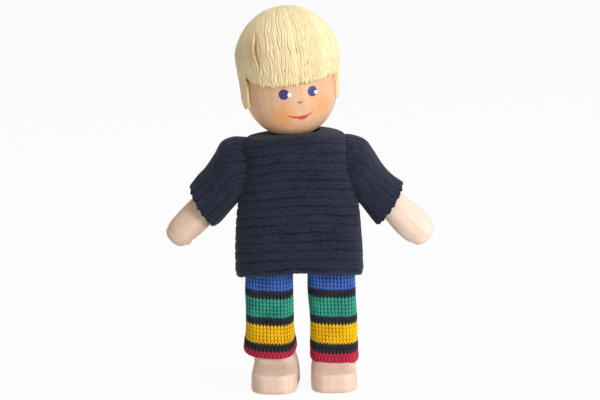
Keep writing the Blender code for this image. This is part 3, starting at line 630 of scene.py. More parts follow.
# %% Eyes, nose and mouth
GLINT_LIFT, LIP_LIFT = 0.13, 0.12
indigo_paint = paint_finish("indigo_paint", screen_colour(66, 60, 128), screen_colour(48, 42, 102))
white_paint = paint_finish("white_paint", screen_colour(252, 252, 252), screen_colour(240, 240, 244))
nose_paint = paint_finish("red_brown_paint", screen_colour(196, 92, 62), screen_colour(168, 70, 46))
mouth_paint = paint_finish("mouth_paint", screen_colour(200, 62, 50), screen_colour(172, 44, 36))
lip_paint = paint_finish("lip_paint", screen_colour(228, 74, 62), screen_colour(204, 54, 46))
EYE_HEIGHT, EYE_ANGLE, EYE_HALF = 11.4, 18.3, 1.28
paint_spot("eye_right", -EYE_ANGLE, EYE_HEIGHT, EYE_HALF, EYE_HALF, 0.0, indigo_paint)
paint_spot("eye_left", EYE_ANGLE, EYE_HEIGHT, EYE_HALF, EYE_HALF, 0.0, indigo_paint)
paint_spot("eye_glint_right", -11.6, 11.2, 0.54, 0.54, 0.0, white_paint, GLINT_LIFT)
paint_spot("eye_glint_left", 22.6, 11.1, 0.5, 0.5, 0.0, white_paint, GLINT_LIFT)
paint_stroke("nose", [(-2.6, 9.25), (0.6, 9.08), (4.0, 9.3)], [0.17, 0.24, 0.15], nose_paint)
SMILE = [(-16.3, 6.0), (-9.2, 5.55), (-2.2, 5.35), (3.8, 5.4), (10.8, 5.65), (18.7, 6.35)]
paint_stroke("smile", SMILE, [0.14, 0.2, 0.26, 0.3, 0.2, 0.12], mouth_paint)
paint_spot("lips", 4.0, 5.22, 1.15, 0.6, 0.12, lip_paint, LIP_LIFT)
print("face painted: two eyes, their glints, a nose, a smile and lips")

# %% [markdown]
# ## Wig
# The hair is wool: strands laid side by side from a whorl at the back of the crown, combed down and
# cut straight over the eyes, with a longer lock in front of each ear. Blender has a hair system, but
# separate tubes keep their thickness up close and can be exported. Three layers of strands lie over
# a plain wool cap, each strand with a little sway and its own tone. The cap and the lower layers are
# painted darker, as shade under the upper ones, so that gaps between them look deep. Over the doll's
# right temple the upper layers part and show the wool below, and the strands there are painted darker,
# as shade in the gap.

# %% Hairline and the way a strand runs
WHORL = np.array([0.0, math.sin(math.radians(20.0)), math.cos(math.radians(20.0))])
NAPE, LOCK_RIGHT, LOCK_LEFT = 6.9, 8.2, 8.4
# Angle from the front in degrees, and the height over the head's base at which the hair is cut there
CUT_LINE = np.array((
    (-180, NAPE), (-125, NAPE), (-72.5, LOCK_RIGHT), (-71.5, 15.9), (-62, 15.0), (-50, 14.0), (-30, 13.35),
    (0, 13.5), (30, 13.8), (52, 14.3), (65, 14.9), (66, LOCK_LEFT), (125, NAPE), (180, NAPE),
))
# How far the hair stands off at the crown and the sides, the height where it does so most, and its reach
CROWN_PUFF, SIDE_PUFF, RIGHT_PUFF, PUFF_Z, PUFF_REACH = 0.55, 0.3, 0.15, 21.0, 4.5
# Below a height the hair leans in by these shares, and it follows the jaw in part
RIGHT_TUCK, LEFT_TUCK, TUCK_BELOW, JAW_FOLLOW = 0.03, 0.08, 16.5, 0.6


def hairline(azimuth):
    """Height over the head's base at which the hair is cut, at an angle in degrees from the front."""
    return float(np.interp((azimuth + 180) % 360 - 180, *CUT_LINE.T))


def strand_path(azimuth, tip, lift, start):
    """A strand from near the whorl over the dome and down the side, and the outward way at each point."""
    level = np.array([math.sin(math.radians(azimuth)), -math.cos(math.radians(azimuth)), 0.0])
    bow = math.acos(float(np.clip(WHORL @ level, -1, 1)))
    share = np.linspace(start, 1, 16)[:, None]
    outward = (np.sin((1 - share) * bow) * WHORL + np.sin(share * bow) * level) / math.sin(bow)
    crown = CROWN_PUFF * np.clip(outward[:, 2:], 0, 1) ** 2
    dome = np.array([0, 0, CROWN_Z]) + (HEAD_RADIUS + lift + crown) * outward
    height = np.linspace(CROWN_Z, tip, 12)[1:]
    jaw = HEAD_RADIUS - np.sqrt(HEAD_RADIUS**2 - np.clip(JAW_Z - height, 0, None) ** 2)
    tuck = RIGHT_TUCK + (LEFT_TUCK - RIGHT_TUCK) * max(level[0], 0)
    reach = HEAD_RADIUS + lift - JAW_FOLLOW * jaw - tuck * np.clip(TUCK_BELOW - height, 0, None)
    wall = reach[:, None] * level + np.stack([0 * height, 0 * height, height], axis=1)
    path = np.vstack([dome, wall])
    outward = np.vstack([outward, np.repeat(level[None], len(height), axis=0)])
    fullness = SIDE_PUFF + RIGHT_PUFF * max(-level[0], 0)
    puff = fullness * bell(path[:, 2] - PUFF_Z, PUFF_REACH)
    return path + puff[:, None] * outward, outward


print("hair cut at", [hairline(a) for a in (0, -60, -90, 90, 180)], "mm over the head's base")

# %% Wool finish and cap
WOOL_FIBRE, WOOL_CONTRAST = (0.16, 0.16, 1.6), 0.7


def wool_finish():
    material, tree, shader = new_finish("blond_wool", 0.85, sheen=0.12, specular=0.2)
    shade = add_node(tree, "Attribute", attribute_name="relief").outputs["Fac"]
    fibres = stretched_noise(tree, WOOL_FIBRE, 0.0, 4.0)
    share = calculate(tree, "ADD", shade, either_side(tree, fibres, WOOL_CONTRAST))
    clamped = add_node(tree, "MapRange", {"Value": share}).outputs[0]
    # The darker wool stands for painted shade under and between the strands, and for the wool's own random
    # tone
    tint = mix_colours(tree, clamped, screen_colour(212, 182, 132), screen_colour(249, 231, 188))
    tree.links.new(tint, shader.inputs["Base Color"])
    roughen(tree, shader, fibres, 0.3, 0.12)
    return material


blond_wool = wool_finish()
# The cap's low value paints it darker, as shade under the strands
CAP_COLUMNS, CAP_LIFT, CAP_SHORT, CAP_START, CAP_SHADE = 180, 0.32, 0.5, 0.002, 0.4
cap_rings = []
for column in range(CAP_COLUMNS):
    azimuth = 360.0 * column / CAP_COLUMNS
    path, outward = strand_path(azimuth, hairline(azimuth) + CAP_SHORT, CAP_LIFT, CAP_START)
    cap_rings.append(path[::-1])
cap_points = np.stack(cap_rings, axis=1).reshape(-1, 3)
cap_faces = grid_faces(len(cap_rings[0]), CAP_COLUMNS)
cap_shade = np.full(len(cap_points), CAP_SHADE)
cap = make_piece("wig_cap", head_place(cap_points), cap_faces, [blond_wool], cap_shade)
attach(cap, "head")
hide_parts("wig")
print("wig cap:", len(cap.data.polygons), "faces")

# %% A strand
STRAND_SIDES = 5


def strand_tube(path, outward, radius, sway, wavelength, phase):
    """A thin tube along a path that waves from side to side."""
    sideways = np.cross(unit_rows(np.gradient(path, axis=0)), outward)
    run = running_length(path)
    turn = 2 * np.pi * run / wavelength
    wave = sway * np.clip(run / 5, 0.1, 1) * (np.sin(phase + turn) + 0.6 * np.sin(2 * phase + 1.9 * turn))
    path = path + sideways * wave[:, None] + outward * (0.16 * wave)[:, None]
    taper = radius * np.interp(run / run[-1], [0, 0.1, 0.9, 0.98, 1], [0.6, 1, 1, 0.85, 0.3])
    angle = turns(STRAND_SIDES)
    cosine, sine = np.cos(angle)[None, :, None], np.sin(angle)[None, :, None]
    ring = cosine * outward[:, None] + sine * sideways[:, None]
    points = (path[:, None] + taper[:, None, None] * ring).reshape(-1, 3)
    return points, grid_faces(len(path), STRAND_SIDES)


print("a strand is a tube of", STRAND_SIDES, "sides")

# %% Lay the strands
TUFTS_ROUND = 46
# Height of a layer over the head, a strand's radius in it and the number of its strands
LAYERS = ((0.42, 0.36, 170), (0.64, 0.34, 190), (0.84, 0.31, 190))
# Over the doll's right temple the upper layers part: the gap's angle, height and half sizes
PARTING_ANGLE, PARTING_Z, PARTING_HALF_ANGLE, PARTING_HALF_Z = -44.0, 22.3, 9.0, 3.2
# How far the upper layers part, and how much darker all strands at the gap are painted, as shade in the gap
PARTING_WIDTH, PARTING_SHADE = 0.42, 0.55
# What each strand draws by chance: the place of its tip, its height and its start, its sway, the phase of
# its wave and its share of the layer's radius
TIP_RANGE, HEIGHT_RANGE, START_RANGE = (-0.2, 0.4), (-0.05, 0.05), (0.004, 0.08)
SWAY_RANGE, PHASE_RANGE, RADIUS_RANGE = (0.1, 0.25), (-1.6, 1.6), (0.8, 1.2)
# Tone of the lowest layer and the step up to the next one, with lower layers painted darker as shade under
# the upper ones; then a tuft's share and a strand's own, which vary at random
FIRST_SHADE, LAYER_SHADE, TUFT_SHADE, SHADE_RANGE = 0.54, 0.06, 0.16, (-0.1, 0.1)
chance = np.random.default_rng(11)
tufts = chance.uniform(-1, 1, (len(LAYERS), TUFTS_ROUND, 3))
strands, shades = [], []
for layer, (lift, radius, count) in enumerate(LAYERS):
    for k in range(count):
        place = k + layer / 3 + chance.uniform(-0.4, 0.4)
        bend, length, tone = tufts[layer, int(place / count * TUFTS_ROUND) % TUFTS_ROUND]
        azimuth = 360.0 * place / count + 1.2 * bend
        tip = hairline(azimuth) + chance.uniform(*TIP_RANGE) + 0.2 * length
        height, start = lift + chance.uniform(*HEIGHT_RANGE), chance.uniform(*START_RANGE)
        path, outward = strand_path(azimuth, tip, height, start)
        sway, wavelength = chance.uniform(*SWAY_RANGE), 6.5 + 1.6 * length
        phase = 3.0 * bend + chance.uniform(*PHASE_RANGE)
        from_parting = (azimuth - PARTING_ANGLE + 180) % 360 - 180
        opening = bell(from_parting, PARTING_HALF_ANGLE) * bell(path[:, 2] - PARTING_Z, PARTING_HALF_Z)
        if layer:
            aside = np.array([math.cos(math.radians(azimuth)), math.sin(math.radians(azimuth)), 0])
            path = path + (math.copysign(PARTING_WIDTH, from_parting) * opening)[:, None] * aside
        thickness = radius * chance.uniform(*RADIUS_RANGE)
        strands.append(strand_tube(path, outward, thickness, sway, wavelength, phase))
        # Lower layers are painted darker, as shade under the upper ones; tufts and strands vary at random
        shade = FIRST_SHADE + LAYER_SHADE * layer + TUFT_SHADE * tone + chance.uniform(*SHADE_RANGE)
        # Strands at the parting are painted darker, as shade in the gap
        shades.append(np.repeat(shade - PARTING_SHADE * opening, STRAND_SIDES))
hair_points, hair_faces = join_parts(strands)
hair = make_piece("wig_strands", head_place(hair_points), hair_faces, [blond_wool], np.concatenate(shades))
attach(hair, "head")
print("wig:", len(strands), "strands,", len(hair.data.polygons), "faces")

# %% [markdown]
# ## Forearms and hands
# A forearm and its hand are one stick of wood that widens into a round-ended paddle; the doll's
# right hand has a small step cut for the thumb. Oval rings are stacked along the arm and the outline
# is read from a few half widths. A flat tongue at the top goes into the elbow.

# %% Outline of a hand
ARM_COLUMNS = 72
# Along the arm from the shoulder, and half the width there
HAND_OUTLINE = {
    "left": (
        (13.4, 3.5), (15.5, 3.72), (18.0, 4.05), (20.2, 4.22), (22.2, 4.12), (23.8, 3.8), (25.0, 3.25),
    ),
    "right": (
        (13.4, 3.72), (15.5, 3.85), (18.0, 3.85), (20.2, 3.75), (22.0, 3.62), (23.3, 3.35), (24.3, 2.95),
    ),
}
HAND_ROWS, END_STEPS = 34, 9
HAND_TIP = {"left": 26.75, "right": 25.95}
# A hand reaches its full depth where half its width is HAND_FULL_HALF
HAND_SHIFT, HAND_HALF_DEPTH, HAND_FULL_HALF = {"left": 0.25, "right": -0.1}, 3.1, 3.55
ELBOW_ALONG, TONGUE_RADIUS, TONGUE_HALF, TONGUE_END = 10.0, 2.35, 1.1, 14.6
# Place along the arm, height and half length of the thumb's bump, and of the cut before it
THUMB_STEPS = ((23.3, 0.42, 0.75), (21.9, -0.2, 0.5))


def rounded_end(outline, tip, steps):
    """Continues an outline of (along, half) round its end in a quarter oval that closes at the tip."""
    last_along, last_half = outline[-1]
    angles = np.linspace(0, math.pi / 2, steps + 1)[1:]
    reach = tip - last_along
    end = [(last_along + reach * math.sin(a), max(last_half * math.cos(a), 0.01)) for a in angles]
    return list(outline) + end


print("the hands end", HAND_TIP, "mm along the arm")

# %% Hands


def tongue_plate(half, radius, low, centre, steps=12):
    """A flat tongue with a round end. The first axis is its thickness, the others its outline."""
    angles = np.linspace(0, math.pi, steps)
    outline = [(-radius, low), (radius, low)]
    outline += [(radius * math.cos(a), centre + radius * math.sin(a)) for a in angles]
    rim = np.array(outline)
    sides = [np.column_stack([np.full(len(rim), x), rim]) for x in (-half, half)]
    middle = rim.mean(axis=0)
    caps = [np.column_stack([np.full(len(rim), x), np.tile(middle, (len(rim), 1))]) for x in (-half, half)]
    return np.vstack([caps[0], sides[0], sides[1], caps[1]]), grid_faces(4, len(rim))[:, ::-1]


def hand_rings(side):
    """Points and faces of a hand, from its closed wrist to its tip."""
    outline = rounded_end(HAND_OUTLINE[side], HAND_TIP[side], END_STEPS)
    along, half = np.array(outline).T
    palm = np.linspace(along[0], HAND_OUTLINE[side][-1][0], HAND_ROWS)
    fine = np.concatenate([palm, along[-END_STEPS:]])
    rings = []
    ring = oval_ring(1.0, 1.0, 2.25, ARM_COLUMNS)
    for s, width in zip(fine, smooth_values(along, half, fine)):
        depth = HAND_HALF_DEPTH * min(1.0, (width / HAND_FULL_HALF) ** 0.8)
        across = ring[:, 0] * width + HAND_SHIFT[side]
        if side == "right":
            inner = np.clip(-ring[:, 0], 0, 1) ** 3
            across -= inner * sum(height * bell(s - place, half) for place, height, half in THUMB_STEPS)
        rings.append(np.column_stack([across, ring[:, 1] * depth, np.full(ARM_COLUMNS, s)]))
    top = rings[0].copy()
    top[:, :2] *= 0.02
    points = np.vstack([top] + rings)
    return points, grid_faces(len(rings) + 1, ARM_COLUMNS)


for side in SIDES:
    tongue, tongue_faces = tongue_plate(TONGUE_HALF, TONGUE_RADIUS, -TONGUE_END, -ELBOW_ALONG)
    tongue = tongue * np.array([1, 1, -1])
    points, faces = join_parts([hand_rings(side), (tongue, tongue_faces)])
    flip = 1 if side == "right" else -1
    placed = arm_place(points, side)
    hand = make_piece(f"hand_{side}", placed, faces[:, ::flip], [hand_wood[side]])
    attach(hand, f"forearm_{side}")
    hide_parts(f"forearm_{side}")
    print(hand.name, len(hand.data.polygons), "faces")

# %% [markdown]
# ## Feet
# Shin and foot are one block too. From above the foot is a rectangle with a broad round toe; from
# the side the toe stands upright and its top runs back in a soft hollow to the shin. The rings are
# stacked from the sole upwards, each with its own toe and heel.

# %% Rings of a foot
FOOT_COLUMNS, FOOT_ROWS, CORNER_STEPS = 120, 90, 14
# Height, toe, heel, half width and toe corner of each ring
FOOT_RINGS = (
    (0.0, -9.9, 4.3, 4.9, 3.4),
    (0.22, -10.4, 4.8, 5.35, 3.6),
    (0.8, -10.7, 5.1, 5.6, 3.8),
    (2.4, -10.7, 5.1, 5.6, 3.8),
    (3.9, -10.67, 5.1, 5.58, 3.8),
    (4.35, -10.56, 5.08, 5.55, 3.75),
    (4.65, -10.28, 5.05, 5.5, 3.7),
    (4.83, -9.7, 5.0, 5.45, 3.6),
    (5.2, -8.5, 4.9, 5.4, 3.4),
    (5.65, -7.2, 4.8, 5.32, 3.1),
    (6.15, -6.1, 4.7, 5.22, 2.7),
    (6.7, -5.25, 4.6, 5.12, 2.4),
    (7.4, -4.75, 4.52, 5.06, 2.2),
    (8.6, -4.52, 4.5, 5.05, 2.2),
    (10.5, -4.5, 4.5, 5.05, 2.2),
    (12.4, -4.5, 4.5, 5.05, 2.2),
    (12.7, -4.4, 4.4, 4.95, 2.1),
)
HEEL_CORNER, TOE_BOW = 2.2, 0.35
SHIN_TONGUE_HALF, SHIN_TONGUE_RADIUS, SHIN_TONGUE_LOW = 1.7, 3.15, 12.0
# A foot that is set in comes back under its shin from this height on, over this much of it
INSET_FROM, INSET_FADE = 6.5, 4.5
# The sole and the top are drawn in to a point, the sole's behind its toe
NEARLY_SHUT, SOLE_MIDDLE = 0.0003, -3.0
print("rings of a foot:", len(FOOT_RINGS))

# %% Shins and feet


def foot_plan(toe, heel, half, corner):
    """The plan of a foot: a broad round toe, a bowed front and a tighter heel."""
    tight = HEEL_CORNER
    corners = (
        (half - corner, toe + corner, corner, -90),
        (half - tight, heel - tight, tight, 0),
        (tight - half, heel - tight, tight, 90),
        (corner - half, toe + corner, corner, 180),
    )
    spots = []
    for x, y, radius, start in corners:
        for angle in np.radians(np.linspace(start, start + 90, CORNER_STEPS)):
            spots.append((x + radius * math.cos(angle), y + radius * math.sin(angle)))
    plan = np.array(spots)
    bow = TOE_BOW * (1 - (plan[:, 0] / half) ** 2) * smooth_step((toe + corner - plan[:, 1]) / corner)
    plan[:, 1] -= bow
    start = int(np.argmin(np.abs(plan[:, 0]) + 10 * (plan[:, 1] > 0)))
    return spread_evenly(np.roll(plan, -start, axis=0), FOOT_COLUMNS)


def foot_skin(side):
    table = np.array(FOOT_RINGS)
    stations = running_length(table[:, :2])
    rings = []
    for height, *plan in smooth_values(stations, table, np.linspace(0, stations[-1], FOOT_ROWS)):
        inset = FOOT_INSET[side] * (1 - passed(height, INSET_FROM, INSET_FADE))
        ring = foot_plan(*plan) - np.array([SIDES[side] * inset, 0])
        rings.append(np.column_stack([ring, np.full(FOOT_COLUMNS, height)]))
    shut = np.array([NEARLY_SHUT, NEARLY_SHUT, 1])
    sole, top = rings[0] * shut + np.array([0, SOLE_MIDDLE, 0]), rings[-1] * shut
    return np.vstack([sole] + rings + [top]), grid_faces(len(rings) + 2, FOOT_COLUMNS)


for side in SIDES:
    tongue = tongue_plate(SHIN_TONGUE_HALF, SHIN_TONGUE_RADIUS, SHIN_TONGUE_LOW, KNEE_Z)
    points, faces = join_parts([foot_skin(side), tongue])
    foot = make_piece(f"foot_{side}", leg_place(points, side), faces, [foot_wood])
    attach(foot, f"lower_leg_{side}")
    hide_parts(f"lower_leg_{side}")
    print(foot.name, len(foot.data.polygons), "faces")

# %% [markdown]
# ## Yarn
# Both garments are knitted. A finish for knitting needs three things: the yarn's colour, a darker
# tone in the hollows between the stitches, which is painted shade, and fuzz. The meshes below store
# how high each point of the yarn lies in a value called relief, and the finish reads it to paint that
# shade. Fine noise stands for the fibres.

# %% Small stitches
STITCH_SLANT = 1.5


def small_stitches(tree):
    """How high the small stitches stand, from 0 to 1, by the map named stitches."""
    spot = add_node(tree, "UVMap", uv_map="stitches").outputs[0]
    split = add_node(tree, "SeparateXYZ", {0: spot}).outputs
    in_column = calculate(tree, "FRACT", split[0])
    from_middle = calculate(tree, "ABSOLUTE", calculate(tree, "SUBTRACT", in_column, 0.5))
    leg = calculate(tree, "SINE", calculate(tree, "MULTIPLY", from_middle, 2 * math.pi))
    slant = calculate(tree, "ADD", split[1], calculate(tree, "MULTIPLY", from_middle, STITCH_SLANT))
    wave = calculate(tree, "COSINE", calculate(tree, "MULTIPLY", slant, 2 * math.pi))
    row = calculate(tree, "ADD", calculate(tree, "MULTIPLY", wave, 0.5), 0.5)
    return calculate(tree, "MULTIPLY", leg, row)


print("helper for small stitches ready")

# %% Knit finish
STITCH_SHARE = 0.6
PATCHES_PER_METRE, PATCH_SHARE = 260.0, 0.5


def knit_finish(name, tone, hollow, low, high, grain=(0.3, 0.3, 0.3), fuzz=0.5, stitched=False):
    """Yarn that runs from its hollow colour, which is painted shade, to its tone as its relief goes from low
    to high.
    """
    material, tree, shader = new_finish(name, 0.92, sheen=0.1, specular=0.12)
    relief = add_node(tree, "Attribute", attribute_name="relief").outputs["Fac"]
    place = add_node(tree, "TexCoord").outputs["Object"]
    fibres = stretched_noise(tree, grain, 0.0, 4.0)
    noise = {"Vector": place, "Scale": PATCHES_PER_METRE, "Detail": 2.0}
    patches = add_node(tree, "TexNoise", noise).outputs[0]
    fuzzy = calculate(tree, "ADD", relief, either_side(tree, fibres, fuzz))
    share = calculate(tree, "ADD", fuzzy, either_side(tree, patches, PATCH_SHARE))
    height = fibres
    if stitched:
        # The small stitches also darken the colour between them, as painted shade
        stitch = small_stitches(tree)
        share = calculate(tree, "ADD", share, either_side(tree, stitch, STITCH_SHARE))
        height = calculate(tree, "ADD", stitch, calculate(tree, "MULTIPLY", fibres, 0.5))
    clamped = add_node(tree, "MapRange", {"Value": share, "From Min": low, "From Max": high}).outputs[0]
    tree.links.new(mix_colours(tree, clamped, hollow, tone), shader.inputs["Base Color"])
    roughen(tree, shader, height, 0.5, 0.1)
    return material


print("knit finish ready")

# %% Yarns of the stripes
# Each yarn's colour, and the darker colour of its hollows, which is painted shade between the stitches
YARN = {
    "red": ((210, 53, 85), (130, 24, 46)),
    "black": ((50, 53, 60), (16, 17, 20)),
    "yellow": ((250, 212, 20), (172, 92, 2)),
    "green": ((68, 178, 153), (2, 50, 41)),
    "blue": ((82, 124, 213), (8, 18, 60)),
}
STRIPE_LOW, STRIPE_HIGH = 0.1, 0.72
stripe_finish = {}
for colour, (tone, hollow) in YARN.items():
    tones = screen_colour(*tone), screen_colour(*hollow)
    stripe_finish[colour] = knit_finish(f"{colour}_yarn", *tones, STRIPE_LOW, STRIPE_HIGH)
STRIPE_COLOURS = list(YARN)
print("yarns:", STRIPE_COLOURS)

# %% [markdown]
# ## Trouser legs
# The trousers are stocking stitch: columns of small Vs, with each row one colour, so every stripe
# ends in a zigzag. A stitch is drawn as two leaning leaves of yarn that stand out from the cloth.
# The rows of the grid itself follow the Vs, so a colour change is an edge of the mesh and stays
# sharp. The lowest rows have no slant and only ribs, and the edge rolls in.

# %% Stocking stitch
STITCH_COLUMNS, COLUMN_STEPS, ROW_STEPS = 44, 8, 5
ROW_HEIGHT, V_SLANT, YARN_HEIGHT = 0.957, 0.72, 0.255
# The groove between two leaves, as depth and half width, and a leaf's height at its root and at a row's edge
GROOVE_DEPTH, GROOVE_HALF, LEAF_ROOT, LEAF_EDGE = 0.45, 0.18, 0.05, 0.35
# Colour, number of rows and height of a row, from the cuff upwards
STRIPES = (
    ("red", 3, 0.8),
    ("black", 2, 1.2),
    ("yellow", 5, ROW_HEIGHT),
    ("black", 2, ROW_HEIGHT),
    ("green", 5, ROW_HEIGHT),
    ("black", 2, ROW_HEIGHT),
    ("blue", 15, ROW_HEIGHT),
)
RIB_ROWS = STRIPES[0][1]
ROWS_IN_LEG = sum(count for colour, count, height in STRIPES)


def row_place(row):
    """Height of a row over the cuff's edge, in mm."""
    rows = np.cumsum([0] + [count for colour, count, height in STRIPES])
    heights = np.cumsum([0] + [count * height for colour, count, height in STRIPES])
    return np.interp(row, rows, heights)


def stocking_stitch():
    """For each point of the grid: its row, how far the slant lifts it, and how high its yarn lies."""
    column = np.arange(STITCH_COLUMNS * COLUMN_STEPS) / COLUMN_STEPS
    row = (np.arange(ROWS_IN_LEG * ROW_STEPS + 1) / ROW_STEPS)[:, None]
    from_middle = np.abs(2 * (column % 1.0) - 1)[None, :]
    slanted = smooth_step((row - RIB_ROWS + 2.0) / 2.0)
    lift = V_SLANT * (from_middle - 0.5) * slanted
    across_row = 0.5 - 0.5 * np.cos(2 * np.pi * row)
    groove = 1 - GROOVE_DEPTH * bell(1 - from_middle, GROOVE_HALF)
    leaf = LEAF_ROOT + (1 - LEAF_ROOT) * np.sin(np.pi / 2 * from_middle) ** 0.8
    leaf = leaf * groove * (LEAF_EDGE + (1 - LEAF_EDGE) * across_row)
    rib = 0.3 + 0.3 * np.cos(np.pi * from_middle) + 0.15 * across_row
    return row, lift, slanted * leaf + (1 - slanted) * rib


print("stitches in a leg:", STITCH_COLUMNS * ROWS_IN_LEG)

# %% Shape of a trouser leg
CUFF_EDGE = 6.5
CUFF_RISE, RISE_FADE = {"left": -0.2, "right": 1.65}, 2.8
CUFF_SAG, LEG_SAG, SAG_FADE = {"left": 1.1, "right": 2.0}, {"left": 0.35, "right": 0.6}, 7.0
# How much higher a row lies on the side of a leg that is towards the doll's right
LEG_TILT = {"left": 0.25, "right": 0.35}
# How far the cloth hangs to the doll's left of the leg, at the cuff and at the top
CLOTH_ASIDE = {"left": (0.25, -0.15), "right": (0.2, 0.3)}
CLOTH_HALF, CLOTH_SQUARENESS = (5.8, 5.5), 3.2
# Height over the cuff's edge, and half width and half depth of the cloth there
LEG_SHAPE = {
    "left": (
        (0, 5.95, 5.8), (2.5, 5.85, 5.7), (5, 5.75, 5.55), (18, 5.8, 5.5), (23, 5.75, 5.4), (34, 5.6, 5.1),
    ),
    "right": (
        (0, 6.5, 5.95), (2.5, 6.3, 5.8), (5, 6.0, 5.6), (18, 5.75, 5.5), (23, 5.65, 5.4), (34, 5.6, 5.1),
    ),
}
# Relief at which the yarn lies on that outline
CLOTH_LEVEL = 0.35
# Depth, number round the leg and twist per mm of height of the folds in the cloth
LEG_FOLDS = ((0.05, 3, 0.35), (0.04, 5, -0.6))
ASIDE_FROM, ASIDE_REACH = 4.0, 18.0
# Inwards and upwards steps of the rolled edge, from inside the cuff to its lowest point, and its relief as a
# share of the first row's, which paints the rolled edge darker, as shade
EDGE_ROLL, ROLL_SHADE_RELIEF = ((0.62, 1.0), (0.58, 0.15), (0.4, -0.12), (0.14, -0.16)), 0.6


def folds_round(folds, turn, height):
    """Soft folds round a tube, each with a depth, a number and a twist."""
    return sum(depth * np.sin(count * turn + twist * height) for depth, count, twist in folds)


def cuff_sag(height, side):
    """How much higher a row lies at the sides and the back than at the front."""
    return LEG_SAG[side] + (CUFF_SAG[side] - LEG_SAG[side]) * smooth_step((SAG_FADE - height) / SAG_FADE)


print("a leg is", round(float(row_place(ROWS_IN_LEG)), 1), "mm long")

# %% Knit a trouser leg


def trouser_leg(side):
    """Points in mm, the grid's rows and columns, its relief and the stripe of each row of faces."""
    row, lift, relief = stocking_stitch()
    columns = STITCH_COLUMNS * COLUMN_STEPS
    height = row_place(row) + ROW_HEIGHT * lift
    shape = np.array(LEG_SHAPE[side])
    mean_height = np.repeat(row_place(row), columns, axis=1)
    half_width = smooth_values(shape[:, 0], shape[:, 1], mean_height[:, 0])[:, None]
    half_depth = smooth_values(shape[:, 0], shape[:, 2], mean_height[:, 0])[:, None]
    ring = oval_ring(*CLOTH_HALF, CLOTH_SQUARENESS, columns)
    outward = unit_rows(ring)
    ring = ring / np.array(CLOTH_HALF)
    drape = folds_round(LEG_FOLDS, turns(columns)[None, :], mean_height)
    swell = drape + YARN_HEIGHT * (relief - CLOTH_LEVEL)
    at_cuff, at_top = CLOTH_ASIDE[side]
    aside = at_cuff + (at_top - at_cuff) * passed(mean_height, ASIDE_FROM, ASIDE_REACH)
    x = ring[None, :, 0] * half_width + outward[None, :, 0] * swell + aside
    y = ring[None, :, 1] * half_depth + outward[None, :, 1] * swell
    front = np.clip(-ring[:, 1], 0, 1)[None, :] ** 1.3
    rise = CUFF_RISE[side] * np.exp(-mean_height / RISE_FADE)
    sag = cuff_sag(mean_height, side) * (1 - front)
    z = CUFF_EDGE + height + rise + sag - LEG_TILT[side] * ring[None, :, 0]
    grid = np.stack([x, y, z], axis=-1)
    rolled = []
    for inward, up in EDGE_ROLL:
        edge = grid[0].copy()
        edge[:, :2] -= inward * outward
        edge[:, 2] += up
        rolled.append(edge)
    points = np.concatenate([np.array(rolled), grid]).reshape(-1, 3)
    # The rolled edge is painted darker, as shade, by a lower relief
    relief = np.concatenate([np.repeat(ROLL_SHADE_RELIEF * relief[:1], len(rolled), axis=0), relief]).ravel()
    stripe = [STRIPE_COLOURS.index(STRIPES[0][0])] * len(rolled)
    for colour, count, tall in STRIPES:
        stripe += [STRIPE_COLOURS.index(colour)] * (count * ROW_STEPS)
    return leg_place(points, side), len(rolled) + grid.shape[0], columns, relief, np.array(stripe)


print("the cuff rolls in over", len(EDGE_ROLL), "rows")

# %% Cut each leg above its stripes
HIP_BEND = (40.0, 28.0)
KNEE_BEND = (23.5, 11.5)
SPLIT_ROW = len(EDGE_ROLL) + ROW_STEPS * (ROWS_IN_LEG - STRIPES[-1][1])
trousers = {}
for side in SIDES:
    points, rows, columns, relief, stripe = trouser_leg(side)
    faces = grid_faces(rows, columns)
    normals = grid_normals(points, faces)
    face_row = np.repeat(np.arange(rows - 1), columns)
    finishes = list(stripe_finish.values())
    middle = SIDES[side] * HIP_X
    for part, chosen in (("lower", face_row < SPLIT_ROW), ("upper", face_row >= SPLIT_ROW)):
        name = f"trouser_{part}_{side}"
        piece = make_piece(name, points, faces[chosen], finishes, relief, normals, stripe[face_row[chosen]])
        trousers[part, side] = piece
    bend = [(middle * MM, 0, z * MM) for z in KNEE_BEND]
    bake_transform(trousers["lower", side])
    bend = [(middle * MM, 0, z * MM) for z in HIP_BEND]
    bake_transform(trousers["upper", side])
    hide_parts(f"trouser_leg_{side}")
    print(side, "trouser leg:", len(faces), "faces")

# %% [markdown]
# ## Seat of the trousers
# Under the sweater the two legs meet in a band that an elastic gathers at the waist. It hardly shows,
# so it has ribs for its gathers and no single stitches. A narrow strip closes the crotch between the
# legs. Both stay with the body when a leg is lifted.

# %% Seat and crotch
seat_low, seat_high = (np.array(corner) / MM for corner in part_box("trouser_seat"))
SEAT_COLUMNS, SEAT_ROWS, SEAT_LOWEST = 240, 24, 36.8
GATHERS, GATHER_DEPTH, SEAT_INSET = 60, 0.35, 0.1
seat_half = (seat_high - seat_low)[:2] / 2
seat_heights = np.linspace(SEAT_LOWEST, seat_high[2], SEAT_ROWS)
seat_ring = oval_ring(seat_half[0], seat_half[1], CLOTH_SQUARENESS, SEAT_COLUMNS)
seat_out = unit_rows(seat_ring)
gather = 0.5 + 0.5 * np.cos(turns(SEAT_COLUMNS) * GATHERS)
seat_rings = []
for height in seat_heights:
    tightness = smooth_step((height - SEAT_LOWEST) / (seat_high[2] - SEAT_LOWEST))
    ring = seat_ring - seat_out * (SEAT_INSET + GATHER_DEPTH * tightness * (1 - gather))[:, None]
    seat_rings.append(np.column_stack([ring, np.full(SEAT_COLUMNS, height)]))
seat_points = np.vstack(seat_rings)
seat_faces = grid_faces(len(seat_rings), SEAT_COLUMNS)
# The hollows between the gathers are painted darker, as shade, through the relief
seat_relief = np.tile(gather, len(seat_rings))
seat = make_piece("trouser_seat_band", seat_points, seat_faces, [stripe_finish["blue"]], seat_relief)
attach(seat, "torso")
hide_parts("trouser_seat")

